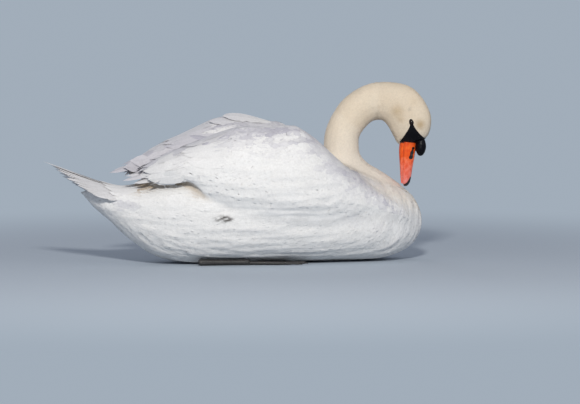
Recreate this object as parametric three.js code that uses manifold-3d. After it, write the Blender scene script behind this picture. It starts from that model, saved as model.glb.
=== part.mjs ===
// A life-size mute swan (Cygnus olor) as a still museum model, resting on its belly in the
// swimming pose: neck drawn back in an S, bill lowered to the breast, wings folded and
// slightly arched, tail cocked, and both feet tucked flat under the belly.
//
// Frame: millimetres, +X towards the bill, +Y to the bird's left, +Z up. The origin is the
// middle of the flat under the belly, on the bird's plane of symmetry.
import * as THREE from "three";
import { mergeVertices } from "three/addons/utils/BufferGeometryUtils.js";
import { ConvexGeometry } from "three/addons/geometries/ConvexGeometry.js";
import Module from "manifold-3d";

const wasm = await Module();
wasm.setup();

// ---------------------------------------------------------------- driving dimensions
const GAP = 0.35; // clearance left by each cut between neighbours
const ROOM = 1.2; // clearance round the neck and the feet, whose facets don't follow a cut's
const SLIVER = 0.08; // edges shorter than this are closed up after a cut
const HEAD_TURN = THREE.MathUtils.degToRad(24); // the head looks this far to the bird's right

const BREAST_X = 366.5; // foremost point of the breast
const VENT_X = -384; // end of the undertail coverts
const TAIL_TIP_X = -458;

const BILL_LENGTH = 105.5; // from inside the forehead to the nail
const BILL_BASE = new THREE.Vector2(335.5, 265); // along and up, in the head's own plane
const BILL_LEAN = THREE.MathUtils.degToRad(-94); // the bill hangs just past straight down
const KNOB_RADIUS = 11.2;
const EYE_RADIUS = 6.6;

const FOOT_SPREAD_Y = 80; // ankle's distance from the plane of symmetry
const TARSUS_LENGTH = 104;
const MIDDLE_TOE = 138;

// ---------------------------------------------------------------- curves and solids
const smooth = (a, b, x) => THREE.MathUtils.smoothstep(x, a, b);

// Catmull-Rom through rows of numbers: t runs from 0 at the first row to 1 at the last.
function along(rows) {
  return (t) => {
    const place = THREE.MathUtils.clamp(t, 0, 1) * (rows.length - 1);
    const i = Math.min(Math.floor(place), rows.length - 2);
    const f = place - i;
    const before = rows[Math.max(i - 1, 0)];
    const after = rows[Math.min(i + 2, rows.length - 1)];
    return rows[i].map((p1, k) => {
      const p2 = rows[i + 1][k];
      const m1 = (p2 - before[k]) / (i > 0 ? 2 : 1);
      const m2 = (after[k] - p1) / (i + 2 < rows.length ? 2 : 1);
      const cubic = 2 * (p1 - p2) + m1 + m2;
      const square = 3 * (p2 - p1) - 2 * m1 - m2;
      return p1 + f * (m1 + f * (square + f * cubic));
    });
  };
}

// A height, width or angle as a smooth function of x, through [x, value] knots in rising x.
function profile(knots) {
  const slope = (i) => {
    const a = knots[Math.max(i - 1, 0)];
    const b = knots[Math.min(i + 1, knots.length - 1)];
    return (b[1] - a[1]) / (b[0] - a[0]);
  };
  return (x) => {
    const c = THREE.MathUtils.clamp(x, knots[0][0], knots.at(-1)[0]);
    let i = 0;
    while (i < knots.length - 2 && c > knots[i + 1][0]) i += 1;
    const [x1, y1] = knots[i];
    const [x2, y2] = knots[i + 1];
    const h = x2 - x1;
    const f = (c - x1) / h;
    const m1 = slope(i) * h;
    const m2 = slope(i + 1) * h;
    return y1 + f * (m1 + f * (3 * (y2 - y1) - 2 * m1 - m2 + f * (2 * (y1 - y2) + m1 + m2)));
  };
}

// A closed skin over rings of points, each end closed with a fan about its middle.
function loft(rings) {
  const n = rings[0].length;
  const points = rings.flat();
  const index = [];
  for (let r = 0; r < rings.length - 1; r += 1) {
    for (let k = 0; k < n; k += 1) {
      const a = r * n + k;
      const b = r * n + ((k + 1) % n);
      index.push(a, b, b + n, a, b + n, a + n);
    }
  }
  for (const [first, ring] of [[true, 0], [false, rings.length - 1]]) {
    const middle = new THREE.Vector3();
    rings[ring].forEach((p) => middle.addScaledVector(p, 1 / n));
    points.push(middle);
    for (let k = 0; k < n; k += 1) {
      const a = ring * n + k;
      const b = ring * n + ((k + 1) % n);
      index.push(points.length - 1, first ? b : a, first ? a : b);
    }
  }
  return new THREE.BufferGeometry().setFromPoints(points).setIndex(index);
}

// A closed plate between two grids of points, [row][column], with a rim round its edge.
function plate(outer, inner) {
  const rings = outer.map((row, r) => [...row, ...inner[r].toReversed()]);
  return loft(rings);
}

function solid(geometry) {
  const bare = geometry.clone();
  for (const name of Object.keys(bare.attributes)) {
    if (name !== "position") bare.deleteAttribute(name);
  }
  const merged = mergeVertices(bare, 1e-3);
  const vertProperties = merged.attributes.position.array;
  const make = (triVerts) => new wasm.Manifold(new wasm.Mesh({ numProp: 3, vertProperties, triVerts }));
  const made = make(new Uint32Array(merged.index.array));
  if (made.volume() > 0) return made;
  return make(new Uint32Array(merged.index.array).reverse());
}

// The tightest shape without hollows round a solid.
function wrapped(shape) {
  const position = geometryOf(shape).attributes.position;
  const points = Array.from({ length: position.count }, (_, i) => {
    return new THREE.Vector3().fromBufferAttribute(position, i);
  });
  return solid(new ConvexGeometry(points));
}

// What is left of a shape: the largest body that the cuts leave, without slivers.
function cut(shape, ...cutters) {
  const left = cutters.reduce((rest, c) => rest.subtract(c), shape);
  const bodies = left.decompose().sort((a, b) => b.volume() - a.volume());
  return bodies[0].simplify(SLIVER);
}

function geometryOf(shape) {
  const mesh = shape.getMesh();
  const position = new Float32Array(mesh.numVert * 3);
  for (let i = 0; i < mesh.numVert; i += 1) {
    for (let k = 0; k < 3; k += 1) position[i * 3 + k] = mesh.vertProperties[i * mesh.numProp + k];
  }
  const geometry = new THREE.BufferGeometry();
  geometry.setAttribute("position", new THREE.BufferAttribute(position, 3));
  geometry.setIndex(new THREE.BufferAttribute(new Uint32Array(mesh.triVerts), 1));
  geometry.computeVertexNormals();
  return geometry;
}

// ---------------------------------------------------------------- trunk
// A boat-shaped body, widest behind the breast, with a keel pressed flat where it rests.
const TRUNK_SEGMENTS = 28;
const TRUNK_ROWS = along([
  // x, back, keel, half width, height of the widest line
  [BREAST_X, 84, 84, 1, 84],
  [361, 110, 60, 34, 84],
  [343, 143, 32, 62, 86],
  [304, 168, 9, 92, 90],
  [250, 183, -1, 117, 96],
  [160, 212, -2.5, 135, 102],
  [60, 236, -2.5, 141, 106],
  [-40, 234, -2.5, 141, 110],
  [-130, 214, -1.5, 128, 118],
  [-205, 191, 9, 105, 124],
  [-262, 172, 40, 80, 128],
  [-310, 166, 84, 56, 136],
  [-352, 164, 121, 34, 146],
  [VENT_X, 157, 153, 3, 156],
]);
const SIDE_POWER = 2 / 2.15; // above the widest line
const BELLY_POWER = 2 / 2.45; // a fuller bilge below it

function trunkRing(t, grow) {
  const [x, back, keel, half, widest] = TRUNK_ROWS(t);
  return Array.from({ length: TRUNK_SEGMENTS }, (_, k) => {
    const angle = (2 * Math.PI * k) / TRUNK_SEGMENTS;
    const c = Math.cos(angle);
    const s = Math.sin(angle);
    const power = s >= 0 ? SIDE_POWER : BELLY_POWER;
    const reach = s >= 0 ? back - widest : widest - keel;
    const y = (half + grow) * Math.sign(c) * Math.abs(c) ** power;
    const z = widest + (reach + grow) * Math.sign(s) * Math.abs(s) ** power;
    return new THREE.Vector3(x, y, Math.max(z, grow > 0 ? -grow : 0));
  });
}

function trunkSolid(grow = 0) {
  const steps = 27;
  return solid(loft(Array.from({ length: steps + 1 }, (_, i) => trunkRing(i / steps, grow))));
}

// ---------------------------------------------------------------- neck and head
// One spine from the breast, back and up in an S, over the top and down to the bill. Each row
// is a section across it; the throat side is the one inside the curve.
const SPINE_ROWS = [
  // forward, up, travel in degrees, half depth, half width
  [308, 94, 130, 58, 66],
  [284, 126, 136, 52, 60],
  [249, 157, 142, 46, 53],
  [215, 184, 130, 42, 46],
  [192, 216, 109, 41, 40],
  [188, 246, 95, 40, 37],
  [189.5, 270, 80, 39, 36],
  [199, 292.5, 61, 39, 35],
  [216, 316, 44, 40, 35],
  [239, 334, 25, 40, 35],
  [262, 342, 5, 42, 35],
  [284, 343, -15, 43.5, 34.5],
  [311, 337.5, -40, 48.5, 34],
  [329, 319, -60, 49.5, 33.5],
  [339.5, 297, -77, 48.5, 32],
  [341.5, 274, -86, 41.5, 28],
  [339.5, 263, -90, 34.5, 23.5],
  [335.5, 257, -88, 27.5, 19.5],
  [334.5, 250, -80, 19, 13],
];
const spine = along(SPINE_ROWS);
const SPINE_SPACING = 26; // between rows, where the neck is parted
const NECK_SEGMENTS = 18;
const CHEEK = 0.1; // how much fuller the throat half of the head is than the crown
const TURN_START = 9 / (SPINE_ROWS.length - 1);
const TURN_END = 12 / (SPINE_ROWS.length - 1);
const TURN_AXIS_X = 262; // the turn is about an upright line through the top of the neck

// A point of the head's upright plane, turned to the bird's right, and side is to its left.
function turned(forward, up, side, turn) {
  const ahead = forward - TURN_AXIS_X;
  return new THREE.Vector3(
    TURN_AXIS_X + ahead * Math.cos(turn) + side * Math.sin(turn),
    -ahead * Math.sin(turn) + side * Math.cos(turn),
    up,
  );
}

const onHead = (forward, up, side) => turned(forward, up, side, HEAD_TURN);

function neckRing(t, grow) {
  const [forward, up, degrees, depth, width] = spine(t);
  const travel = THREE.MathUtils.degToRad(degrees);
  const turn = HEAD_TURN * smooth(TURN_START, TURN_END, t);
  const cheek = CHEEK * smooth(TURN_START, TURN_END, t);
  return Array.from({ length: NECK_SEGMENTS }, (_, k) => {
    const angle = (2 * Math.PI * k) / NECK_SEGMENTS;
    const back = (depth + grow) * Math.cos(angle);
    const side = (width + grow) * Math.sin(angle) * (1 - cheek * Math.cos(angle));
    return turned(forward - back * Math.sin(travel), up + back * Math.cos(travel), side, turn);
  });
}

function neckLength(fromRow, toRow, grow = 0) {
  const last = SPINE_ROWS.length - 1;
  const steps = Math.round((toRow - fromRow) * 2.5);
  const nudge = (row) => (row > 0 && row < last ? (0.5 * GAP) / SPINE_SPACING : 0);
  const from = (fromRow + nudge(fromRow)) / last;
  const to = (toRow - nudge(toRow)) / last;
  const rings = Array.from({ length: steps + 1 }, (_, i) =>
    neckRing(THREE.MathUtils.lerp(from, to, i / steps), grow),
  );
  return solid(loft(rings));
}

// ---------------------------------------------------------------- bill, knob and eyes
const BILL_ROWS = along([
  // share of the length, culmen height, cutting edge depth, half width
  [0, 16, 5, 15],
  [0.1, 18, 6, 17],
  [0.26, 17.5, 7, 17],
  [0.46, 15.5, 6.5, 15.5],
  [0.64, 13.5, 5.5, 15.2],
  [0.8, 12.3, 4.5, 15.3],
  [0.91, 10.5, 4, 12.5],
  [0.98, 6, 3, 6.5],
  [1, 1.5, 1, 1.5],
]);
const BILL_SEGMENTS = 14;
const LOWER_BILL_START = 3; // out from the upper bill's base
const LOWER_BILL_DEPTH = 11.5;

// A point of the bill: out along it, up towards the culmen, and to the bird's left.
function onBill(out, up, side) {
  const c = Math.cos(BILL_LEAN);
  const s = Math.sin(BILL_LEAN);
  return onHead(BILL_BASE.x + out * c - up * s, BILL_BASE.y + out * s + up * c, side);
}

function upperBill(grow = 0) {
  const steps = 12;
  const rings = Array.from({ length: steps + 1 }, (_, i) => {
    const [share, culmen, edge, half] = BILL_ROWS(i / steps);
    return Array.from({ length: BILL_SEGMENTS }, (_, k) => {
      const angle = (2 * Math.PI * k) / BILL_SEGMENTS;
      const rise = Math.sin(angle);
      const side = (half + grow) * Math.cos(angle) * (1 - 0.32 * Math.max(rise, 0));
      return onBill(share * BILL_LENGTH, rise > 0 ? (culmen + grow) * rise : (edge + grow) * rise, side);
    });
  });
  return solid(loft(rings));
}

function lowerBill(grow = 0) {
  const steps = 10;
  const reach = 0.95 * BILL_LENGTH - LOWER_BILL_START;
  const rings = Array.from({ length: steps + 1 }, (_, i) => {
    const share = i / steps;
    const [, , edge, half] = BILL_ROWS(share * 0.93);
    const depth = LOWER_BILL_DEPTH * (1 - 0.5 * share);
    const taper = 0.84 * Math.sqrt(1.02 - share ** 5);
    return Array.from({ length: BILL_SEGMENTS }, (_, k) => {
      const angle = (2 * Math.PI * k) / BILL_SEGMENTS;
      const side = (half * taper + grow) * Math.cos(angle);
      return onBill(LOWER_BILL_START + reach * share, -edge + (depth + grow) * (Math.sin(angle) - 0.1), side);
    });
  });
  return solid(loft(rings));
}

const KNOB_CENTRE = [16.6, 28.9]; // out along the bill and up from it

function knob(grow = 0) {
  const ball = new THREE.SphereGeometry(1, 14, 10);
  const position = ball.attributes.position;
  for (let i = 0; i < position.count; i += 1) {
    const [a, b, c] = [position.getX(i), position.getY(i), position.getZ(i)];
    const swell = 1 - 0.18 * smooth(-0.2, 1, -a); // narrower where it leaves the forehead
    const p = onBill(
      KNOB_CENTRE[0] + (KNOB_RADIUS * 1.92 + grow) * a,
      KNOB_CENTRE[1] + (KNOB_RADIUS + grow) * b * swell,
      (KNOB_RADIUS * 0.98 + grow) * c * swell,
    );
    position.setXYZ(i, p.x, p.y, p.z);
  }
  return solid(ball);
}

const NAIL_START = 0.84; // share of the bill's length

// The nail is the tip of the upper bill, parted from it by a thin cut.
function acrossBill(from, to) {
  const size = 60;
  const box = new THREE.BoxGeometry((to - from) * BILL_LENGTH, size, size);
  const position = box.attributes.position;
  for (let i = 0; i < position.count; i += 1) {
    const p = onBill(
      ((from + to) / 2) * BILL_LENGTH + position.getX(i),
      position.getY(i),
      position.getZ(i),
    );
    position.setXYZ(i, p.x, p.y, p.z);
  }
  return solid(box);
}

const EYE = { forward: 346, up: 300, side: 26.6 };

function eye(sideSign, grow = 0) {
  const ball = new THREE.SphereGeometry(EYE_RADIUS + grow, 12, 8);
  const centre = onHead(EYE.forward, EYE.up, sideSign * EYE.side);
  return solid(ball.translate(centre.x, centre.y, centre.z));
}

// ---------------------------------------------------------------- folded wings
// Each wing is a dome over one side of the body, from the lower edge over the ridge to the
// inner edge at the middle of the back. It is closed below at the height of its lower edge,
// so that it fills down to the trunk and overhangs the rump behind.
const WING_FRONT_X = 328;
const WING_BACK_X = -264;
const wingRidge = profile([
  [-264, 201], [-205, 238], [-150, 260], [-100, 281], [-50, 298],
  [25, 296], [72, 297], [130, 254], [178, 212], [210, 187], [234, 163], [267, 143], [300, 124], [338, 92],
]);
const wingRidgeY = profile([
  [-264, 50], [-150, 66], [-50, 78], [70, 85], [130, 83], [185, 76], [210, 80], [240, 97], [270, 98],
  [300, 90], [338, 72],
]);
const wingReachY = profile([
  [-264, 66], [-205, 112], [-150, 134], [-50, 161], [70, 168], [150, 156], [215, 136], [250, 124],
  [285, 110], [315, 92], [338, 66],
]);
const wingWidest = profile([
  [-264, 192], [-150, 196], [-50, 172], [70, 160], [210, 128], [270, 108], [338, 84],
]);
const wingLower = profile([
  [-264, 185], [-240, 175], [-188, 183], [-165, 178], [-130, 149], [-85, 131],
  [-15, 118], [120, 104], [250, 86], [338, 76],
]);
const wingInnerY = profile([
  [-264, 22], [-200, 8], [-100, 4], [120, 4], [200, 24], [250, 56], [338, 50],
]);
// The left wing is arched a little higher over the rump, and reaches further back.
const LEFT_SWEEP = 14;
const leftLift = profile([
  [-264, 5], [-204, 10], [-151, 12], [-115, 15], [-80, 17], [-42, 13], [20, 6], [72, 0], [338, 0],
]);
const leftSweep = profile([[-264, LEFT_SWEEP], [-200, 6], [-120, 0], [338, 0]]);

// The front of the lower edge turns in against the breast.
const wingTuck = profile([[-264, 0], [100, 0], [190, 7], [250, 12], [338, 14]]);

const EDGE_DROP = 0.6; // how far round its arc each edge of the dome stops
const EDGE_REACH = Math.sqrt(1 - EDGE_DROP ** 2);
const EDGE_THICK = 3; // height of the rim along the lower edge
const EDGE_INSET = 0.96; // share of the width that the flat underside takes up
const WING_COLUMNS = 14;
const WIDEST_COLUMN = 2;
const RIDGE_COLUMN = 9;

// Columns run from the lower edge over the widest line and the ridge to the inner edge.
function wingPoint(x, column, lift) {
  const ridge = wingRidge(x) + lift;
  const widest = wingWidest(x) + lift * 0.5;
  const ridgeY = wingRidgeY(x);
  const reach = wingReachY(x) - ridgeY;
  const inner = ridgeY - wingInnerY(x);
  if (column < WIDEST_COLUMN) {
    const down = 1 - column / WIDEST_COLUMN;
    const drop = EDGE_DROP * down;
    const y = ridgeY + reach * Math.sqrt(1 - drop * drop) - wingTuck(x) * down;
    return [x, y, widest - (widest - wingLower(x)) * down];
  }
  const up = Math.max(ridge - widest, 1);
  if (column < RIDGE_COLUMN) {
    const climb = (column - WIDEST_COLUMN) / (RIDGE_COLUMN - WIDEST_COLUMN);
    const angle = (climb * Math.PI) / 2;
    return [x, ridgeY + reach * Math.cos(angle) ** 0.92, widest + up * Math.sin(angle) ** 0.92];
  }
  const fall = (column - RIDGE_COLUMN) / (WING_COLUMNS - RIDGE_COLUMN);
  const angle = fall * Math.asin(EDGE_REACH);
  return [x, ridgeY - (inner * Math.sin(angle)) / EDGE_REACH, widest + up * Math.cos(angle)];
}

function wing(sideSign) {
  const rows = 23;
  const top = Array.from({ length: rows + 1 }, (_, r) => {
    const x = THREE.MathUtils.lerp(WING_FRONT_X, WING_BACK_X, r / rows);
    const lift = sideSign > 0 ? leftLift(x) : 0;
    const sweep = sideSign > 0 ? leftSweep(x) : 0;
    return Array.from({ length: WING_COLUMNS + 1 }, (_, c) => {
      const [px, py, pz] = wingPoint(x, c, lift);
      return new THREE.Vector3(px - sweep, sideSign * py, pz);
    });
  });
  const underside = top.map((row) => {
    const outer = row[0];
    const across = THREE.MathUtils.lerp(row[WING_COLUMNS].y, outer.y, EDGE_INSET);
    return row.map(({ x }, c) => {
      const y = THREE.MathUtils.lerp(across, row[WING_COLUMNS].y, c / WING_COLUMNS);
      return new THREE.Vector3(x, y, outer.z + EDGE_THICK);
    });
  });
  return solid(plate(top, underside));
}

// The folded primaries, as a blade that shows past the end of each wing.
const WINGTIPS = {
  right: { root: [WING_BACK_X - GAP, -55, 188], tip: [-298, -47, 180], height: 8.5, half: 3.6 },
  left: { root: [WING_BACK_X - LEFT_SWEEP - GAP, 33, 199], tip: [-313, 25, 192], height: 6.5, half: 4.2 },
};

function wingtip({ root, tip, height, half }) {
  const from = new THREE.Vector3(...root);
  const to = new THREE.Vector3(...tip);
  const steps = 5;
  const rings = Array.from({ length: steps + 1 }, (_, i) => {
    const share = i / steps;
    const centre = from.clone().lerp(to, share);
    centre.z += 3 * Math.sin(Math.PI * share);
    const taper = 0.08 + 0.92 * Math.sqrt(1 - share ** 3.2);
    return Array.from({ length: 10 }, (_, k) => {
      const angle = (2 * Math.PI * k) / 10;
      return centre
        .clone()
        .add(new THREE.Vector3(0, half * taper * Math.cos(angle), height * taper * Math.sin(angle)));
    });
  });
  return solid(loft(rings));
}

// ---------------------------------------------------------------- tail
// A stiff wedge of feathers, roof-shaped across, rising to a point behind.
const TAIL_ROOT_X = -236;
const tailTop = profile([[-458, 223], [-398, 200], [-336, 177], [-300, 167], [-236, 158]]);
const tailHalf = profile([[-458, 3], [-448, 17], [-420, 41], [-380, 60], [-330, 64], [-236, 40]]);
const tailDroop = profile([[-458, 3], [-425, 20], [-385, 25], [-330, 26], [-236, 12]]);
const tailThick = profile([[-458, 2.5], [-420, 7], [-380, 10], [-236, 14]]);

function tail() {
  const rows = 15;
  const columns = 10;
  const grid = (sink) =>
    Array.from({ length: rows + 1 }, (_, r) => {
      const x = THREE.MathUtils.lerp(TAIL_ROOT_X, TAIL_TIP_X, r / rows);
      return Array.from({ length: columns + 1 }, (_, c) => {
        const v = (2 * c) / columns - 1;
        const z = tailTop(x) - tailDroop(x) * v * v - sink * tailThick(x) * (1 - 0.6 * v * v);
        return new THREE.Vector3(x, tailHalf(x) * v, z);
      });
    });
  return solid(plate(grid(0), grid(1)));
}

// ---------------------------------------------------------------- legs
// The leg lies along the floor under the belly: shank from the ankle forward to the toes,
// three front toes joined by webs, and a small hind toe.
const ANKLE_X = -142;
const TOE_THICK = 9.5;
const WEB_THICK = 3;
const TOES = [
  // angle from the shank, outwards, and share of the middle toe's length
  { angle: 12, share: 0.97 },
  { angle: 0, share: 1 },
  { angle: -12, share: 0.8 },
];

const FOOT_SINK = 2; // how far the recess for a foot is carried below the floor
// A tapered bar of round section that lies on the floor, flattened where it touches it.
function bar(from, to, startRadius, endRadius, grow) {
  const steps = 4;
  const rings = Array.from({ length: steps + 1 }, (_, i) => {
    const share = i / steps;
    const radius = THREE.MathUtils.lerp(startRadius, endRadius, share) + grow;
    const x = THREE.MathUtils.lerp(from.x, to.x, share);
    const y = THREE.MathUtils.lerp(from.y, to.y, share);
    return Array.from({ length: 8 }, (_, k) => {
      const angle = (2 * Math.PI * k) / 8;
      const z = radius * 0.8 + radius * Math.sin(angle);
      return new THREE.Vector3(x, y + radius * Math.cos(angle), Math.max(z, grow > 0 ? -FOOT_SINK : 0));
    });
  });
  return solid(loft(rings));
}

function leg(sideSign, grow = 0) {
  const at = (x, y) => new THREE.Vector2(x, sideSign * y);
  const ankle = at(ANKLE_X, FOOT_SPREAD_Y - 4);
  const ball = at(ANKLE_X + TARSUS_LENGTH, FOOT_SPREAD_Y);
  const tips = TOES.map(({ angle, share }) => {
    const a = THREE.MathUtils.degToRad(angle);
    const reach = MIDDLE_TOE * share;
    return at(ball.x + reach * Math.cos(a), FOOT_SPREAD_Y + reach * Math.sin(a));
  });
  const hind = at(ball.x - 20, FOOT_SPREAD_Y - 18);
  let foot = bar(ankle, ball, 8, 7, grow);
  tips.forEach((tip) => {
    foot = foot.add(bar(ball, tip, TOE_THICK / 2 + 1.4, 2.2, grow));
  });
  foot = foot.add(bar(ball, hind, 4, 1.8, grow));
  // The webs stop short of the claws, in a shallow curve from toe to toe.
  const ends = tips.map((tip) => ball.clone().lerp(tip, 0.88));
  const web = new THREE.Shape();
  web.moveTo(ball.x - 4, ball.y);
  web.lineTo(ends[0].x, ends[0].y);
  for (let i = 0; i < 2; i += 1) {
    const hollow = ends[i].clone().lerp(ends[i + 1], 0.5).lerp(ball, 0.1);
    web.quadraticCurveTo(hollow.x, hollow.y, ends[i + 1].x, ends[i + 1].y);
  }
  web.closePath();
  const sheet = new THREE.ExtrudeGeometry(web, {
    depth: WEB_THICK + 2 * grow,
    bevelEnabled: false,
    curveSegments: 6,
  });
  return foot.add(solid(sheet.translate(0, 0, grow > 0 ? -grow : 0)));
}

// ---------------------------------------------------------------- the bird
const plumage = new THREE.MeshStandardMaterial({ color: 0xf1efea, roughness: 0.85, side: THREE.DoubleSide });
const cream = new THREE.MeshStandardMaterial({ color: 0xe8dcc2, roughness: 0.85, side: THREE.DoubleSide });
const orange = new THREE.MeshStandardMaterial({ color: 0xe8601f, roughness: 0.45 });
const black = new THREE.MeshStandardMaterial({ color: 0x17171b, roughness: 0.5 });
const eyeball = new THREE.MeshStandardMaterial({ color: 0x120b08, roughness: 0.08 });
const webbing = new THREE.MeshStandardMaterial({ color: 0x2b2b2d, roughness: 0.6 });

const swan = new THREE.Group();

function addPart(name, shape, material) {
  const mesh = new THREE.Mesh(geometryOf(shape), material);
  mesh.name = name;
  swan.add(mesh);
}

const SIDES = [["left", 1], ["right", -1]];
const recesses = SIDES.map(([, sign]) => wrapped(leg(sign, ROOM)));
const trunkClear = trunkSolid(GAP);
addPart("trunk", cut(trunkSolid(), ...recesses), plumage);

// The neck in three lengths, parted at rows of the spine, and the head beyond them.
const NECK_PARTS = [["neck_base", 0, 4.6], ["neck_middle", 4.6, 7.6], ["neck_upper", 7.6, 10.6]];
const HEAD_ROW = 10.6;
for (const [name, from, to] of NECK_PARTS) {
  addPart(name, cut(neckLength(from, to), trunkClear), cream);
}

const upper = upperBill();
const lower = cut(lowerBill(), upperBill(GAP));
const knobClear = knob(GAP);
const head = cut(
  neckLength(HEAD_ROW, SPINE_ROWS.length - 1),
  upperBill(GAP), lowerBill(GAP), knobClear, eye(1, GAP), eye(-1, GAP),
);
addPart("head", head, cream);
const cutShare = GAP / BILL_LENGTH;
addPart("bill_upper", cut(upper, knobClear, acrossBill(NAIL_START - cutShare, 1.1)), orange);
addPart("bill_nail", cut(upper, acrossBill(-0.2, NAIL_START)), black);
addPart("bill_lower", lower, orange);
addPart("bill_knob", knob(), black);

for (const [name, sign] of SIDES) {
  addPart(`eye_${name}`, eye(sign), eyeball);
}

const neckClear = neckLength(0, SPINE_ROWS.length - 1, ROOM);
for (const [name, sign] of SIDES) {
  addPart(`wing_${name}`, cut(wing(sign), trunkClear, neckClear), plumage);
  addPart(`wingtip_${name}`, wingtip(WINGTIPS[name]), plumage);
}

addPart("tail", cut(tail(), trunkClear), plumage);
for (const [name, sign] of SIDES) {
  addPart(`leg_${name}`, leg(sign), webbing);
}

export default swan;
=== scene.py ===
import math

import bmesh
import bpy
import numpy as np
from mathutils import Matrix, Vector
from mathutils.bvhtree import BVHTree


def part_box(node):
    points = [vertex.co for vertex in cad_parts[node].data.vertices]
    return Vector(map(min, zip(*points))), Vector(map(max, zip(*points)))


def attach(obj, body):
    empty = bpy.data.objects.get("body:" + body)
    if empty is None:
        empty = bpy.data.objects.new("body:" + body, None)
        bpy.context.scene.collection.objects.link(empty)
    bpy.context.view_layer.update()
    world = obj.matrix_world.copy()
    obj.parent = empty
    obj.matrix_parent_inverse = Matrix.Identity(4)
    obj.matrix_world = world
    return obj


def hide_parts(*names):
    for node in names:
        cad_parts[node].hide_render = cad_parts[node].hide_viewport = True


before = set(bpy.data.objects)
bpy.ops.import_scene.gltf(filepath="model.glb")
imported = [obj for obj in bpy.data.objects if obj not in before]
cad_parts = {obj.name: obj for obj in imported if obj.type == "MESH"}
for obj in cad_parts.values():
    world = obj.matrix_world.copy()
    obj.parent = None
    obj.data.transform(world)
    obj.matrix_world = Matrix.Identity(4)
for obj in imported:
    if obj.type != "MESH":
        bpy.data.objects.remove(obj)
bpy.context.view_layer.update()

# ---------------------------------------------------------------- the skin
# A museum swan is a tanned skin drawn over a carved body: one closed surface over trunk,
# folded wings, neck and head, which runs on inside the bill and behind the eyes. It lies under
# the feathers' tips by the coat's depth, and fills the creases between neck, wing and breast.
FLESH = ("trunk", "neck_base", "neck_middle", "neck_upper", "head", "wing_left", "wing_right")
HORN = ("bill_upper", "bill_nail", "bill_lower", "bill_knob")
EYES = ("eye_left", "eye_right")
NECK = ("neck_base", "neck_middle", "neck_upper")
WINGS = ("wing_left", "wing_right")
SKIN_SWELL = 0.0009  # closes the thin cuts between the solids
SKIN_VOXEL = 0.0036
COAT_DEPTH = {
    "trunk": 0.0030, "wing_left": 0.0028, "wing_right": 0.0028,
    "neck_base": 0.0032, "neck_middle": 0.0028, "neck_upper": 0.0024, "head": 0.0018,
    "bill_upper": 0.0022, "bill_nail": 0.0026, "bill_lower": 0.0022, "bill_knob": 0.0016,
    "eye_left": 0.002, "eye_right": 0.002,
}
FLOOR_CLEAR = 0.0004  # nothing of the bird comes nearer the floor than this


def linked(name, mesh):
    """A new object of the scene that holds a mesh."""
    made = bpy.data.objects.new(name, mesh)
    bpy.context.scene.collection.objects.link(made)
    return made


def mesh_of(form, name):
    """The mesh of a form, which is used up."""
    mesh = bpy.data.meshes.new(name)
    form.to_mesh(mesh)
    form.free()
    return mesh


def joined_copy(name, nodes, swell):
    """One object with the closed surfaces of several solids, each a little swollen."""
    whole = bmesh.new()
    for node_name in nodes:
        part = bmesh.new()
        part.from_mesh(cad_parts[node_name].data)
        bmesh.ops.remove_doubles(part, verts=part.verts, dist=1e-6)
        part.normal_update()
        for v in part.verts:
            v.co += v.normal * swell
        mesh = mesh_of(part, name)
        whole.from_mesh(mesh)
        bpy.data.meshes.remove(mesh)
    return linked(name, mesh_of(whole, name))


def bake_modifiers(made):
    """The object keeps the mesh that its modifiers give, and loses the modifiers."""
    graph = bpy.context.evaluated_depsgraph_get()
    mesh = bpy.data.meshes.new_from_object(made.evaluated_get(graph))
    made.modifiers.clear()
    old, made.data = made.data, mesh
    bpy.data.meshes.remove(old)
    return made


def remesh(made, voxel):
    change = made.modifiers.new("even mesh", "REMESH")
    change.mode = "VOXEL"
    change.voxel_size = voxel
    change.use_smooth_shade = True
    return bake_modifiers(made)


def read(items, key, width, kind=np.float32):
    """What a mesh's points, edges or corners hold, one row for each."""
    held = np.empty(len(items) * width, kind)
    items.foreach_get(key, held)
    return held.reshape(-1, width)


def places(mesh):
    return read(mesh.vertices, "co", 3).astype(float)


def put_places(mesh, co):
    mesh.vertices.foreach_set("co", co.astype(np.float32).ravel())
    mesh.update()


def above_floor(co):
    """Points, those near the floor or under it raised clear of it."""
    co[:, 2] = np.maximum(co[:, 2], FLOOR_CLEAR)
    return co


def outward(mesh):
    return read(mesh.vertex_normals, "vector", 3).astype(float)


def edge_pairs(mesh):
    return read(mesh.edges, "vertices", 2, np.int32)


def unit(vectors):
    return vectors / np.maximum(np.linalg.norm(vectors, axis=-1, keepdims=True), 1e-12)


def gathered(pairs, values, count):
    """For each vertex, the sum over its edges of the value held by each edge's far end."""
    near = np.concatenate([pairs[:, 0], pairs[:, 1]])
    far = np.concatenate([pairs[:, 1], pairs[:, 0]])
    flat = values.reshape(count, -1)
    columns = [np.bincount(near, weights=flat[far, k], minlength=count) for k in range(flat.shape[1])]
    return np.stack(columns, axis=1).reshape(values.shape)


def evened(pairs, values, rounds, share=0.6, back=0.0):
    """Values drawn towards their neighbours' mean; back undoes the shrinking each round."""
    count = len(values)
    degree = np.bincount(pairs.ravel(), minlength=count).astype(float)
    degree = degree.reshape((-1,) + (1,) * (values.ndim - 1))
    for _ in range(rounds):
        for step in (share, -back) if back else (share,):
            values = values + step * (gathered(pairs, values, count) / degree - values)
    return values


def put_attribute(mesh, name, values):
    kind, key = ("FLOAT_VECTOR", "vector") if values.ndim == 2 else ("FLOAT", "value")
    held = mesh.attributes.get(name) or mesh.attributes.new(name, kind, "POINT")
    held.data.foreach_set(key, values.astype(np.float32).ravel())


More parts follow.
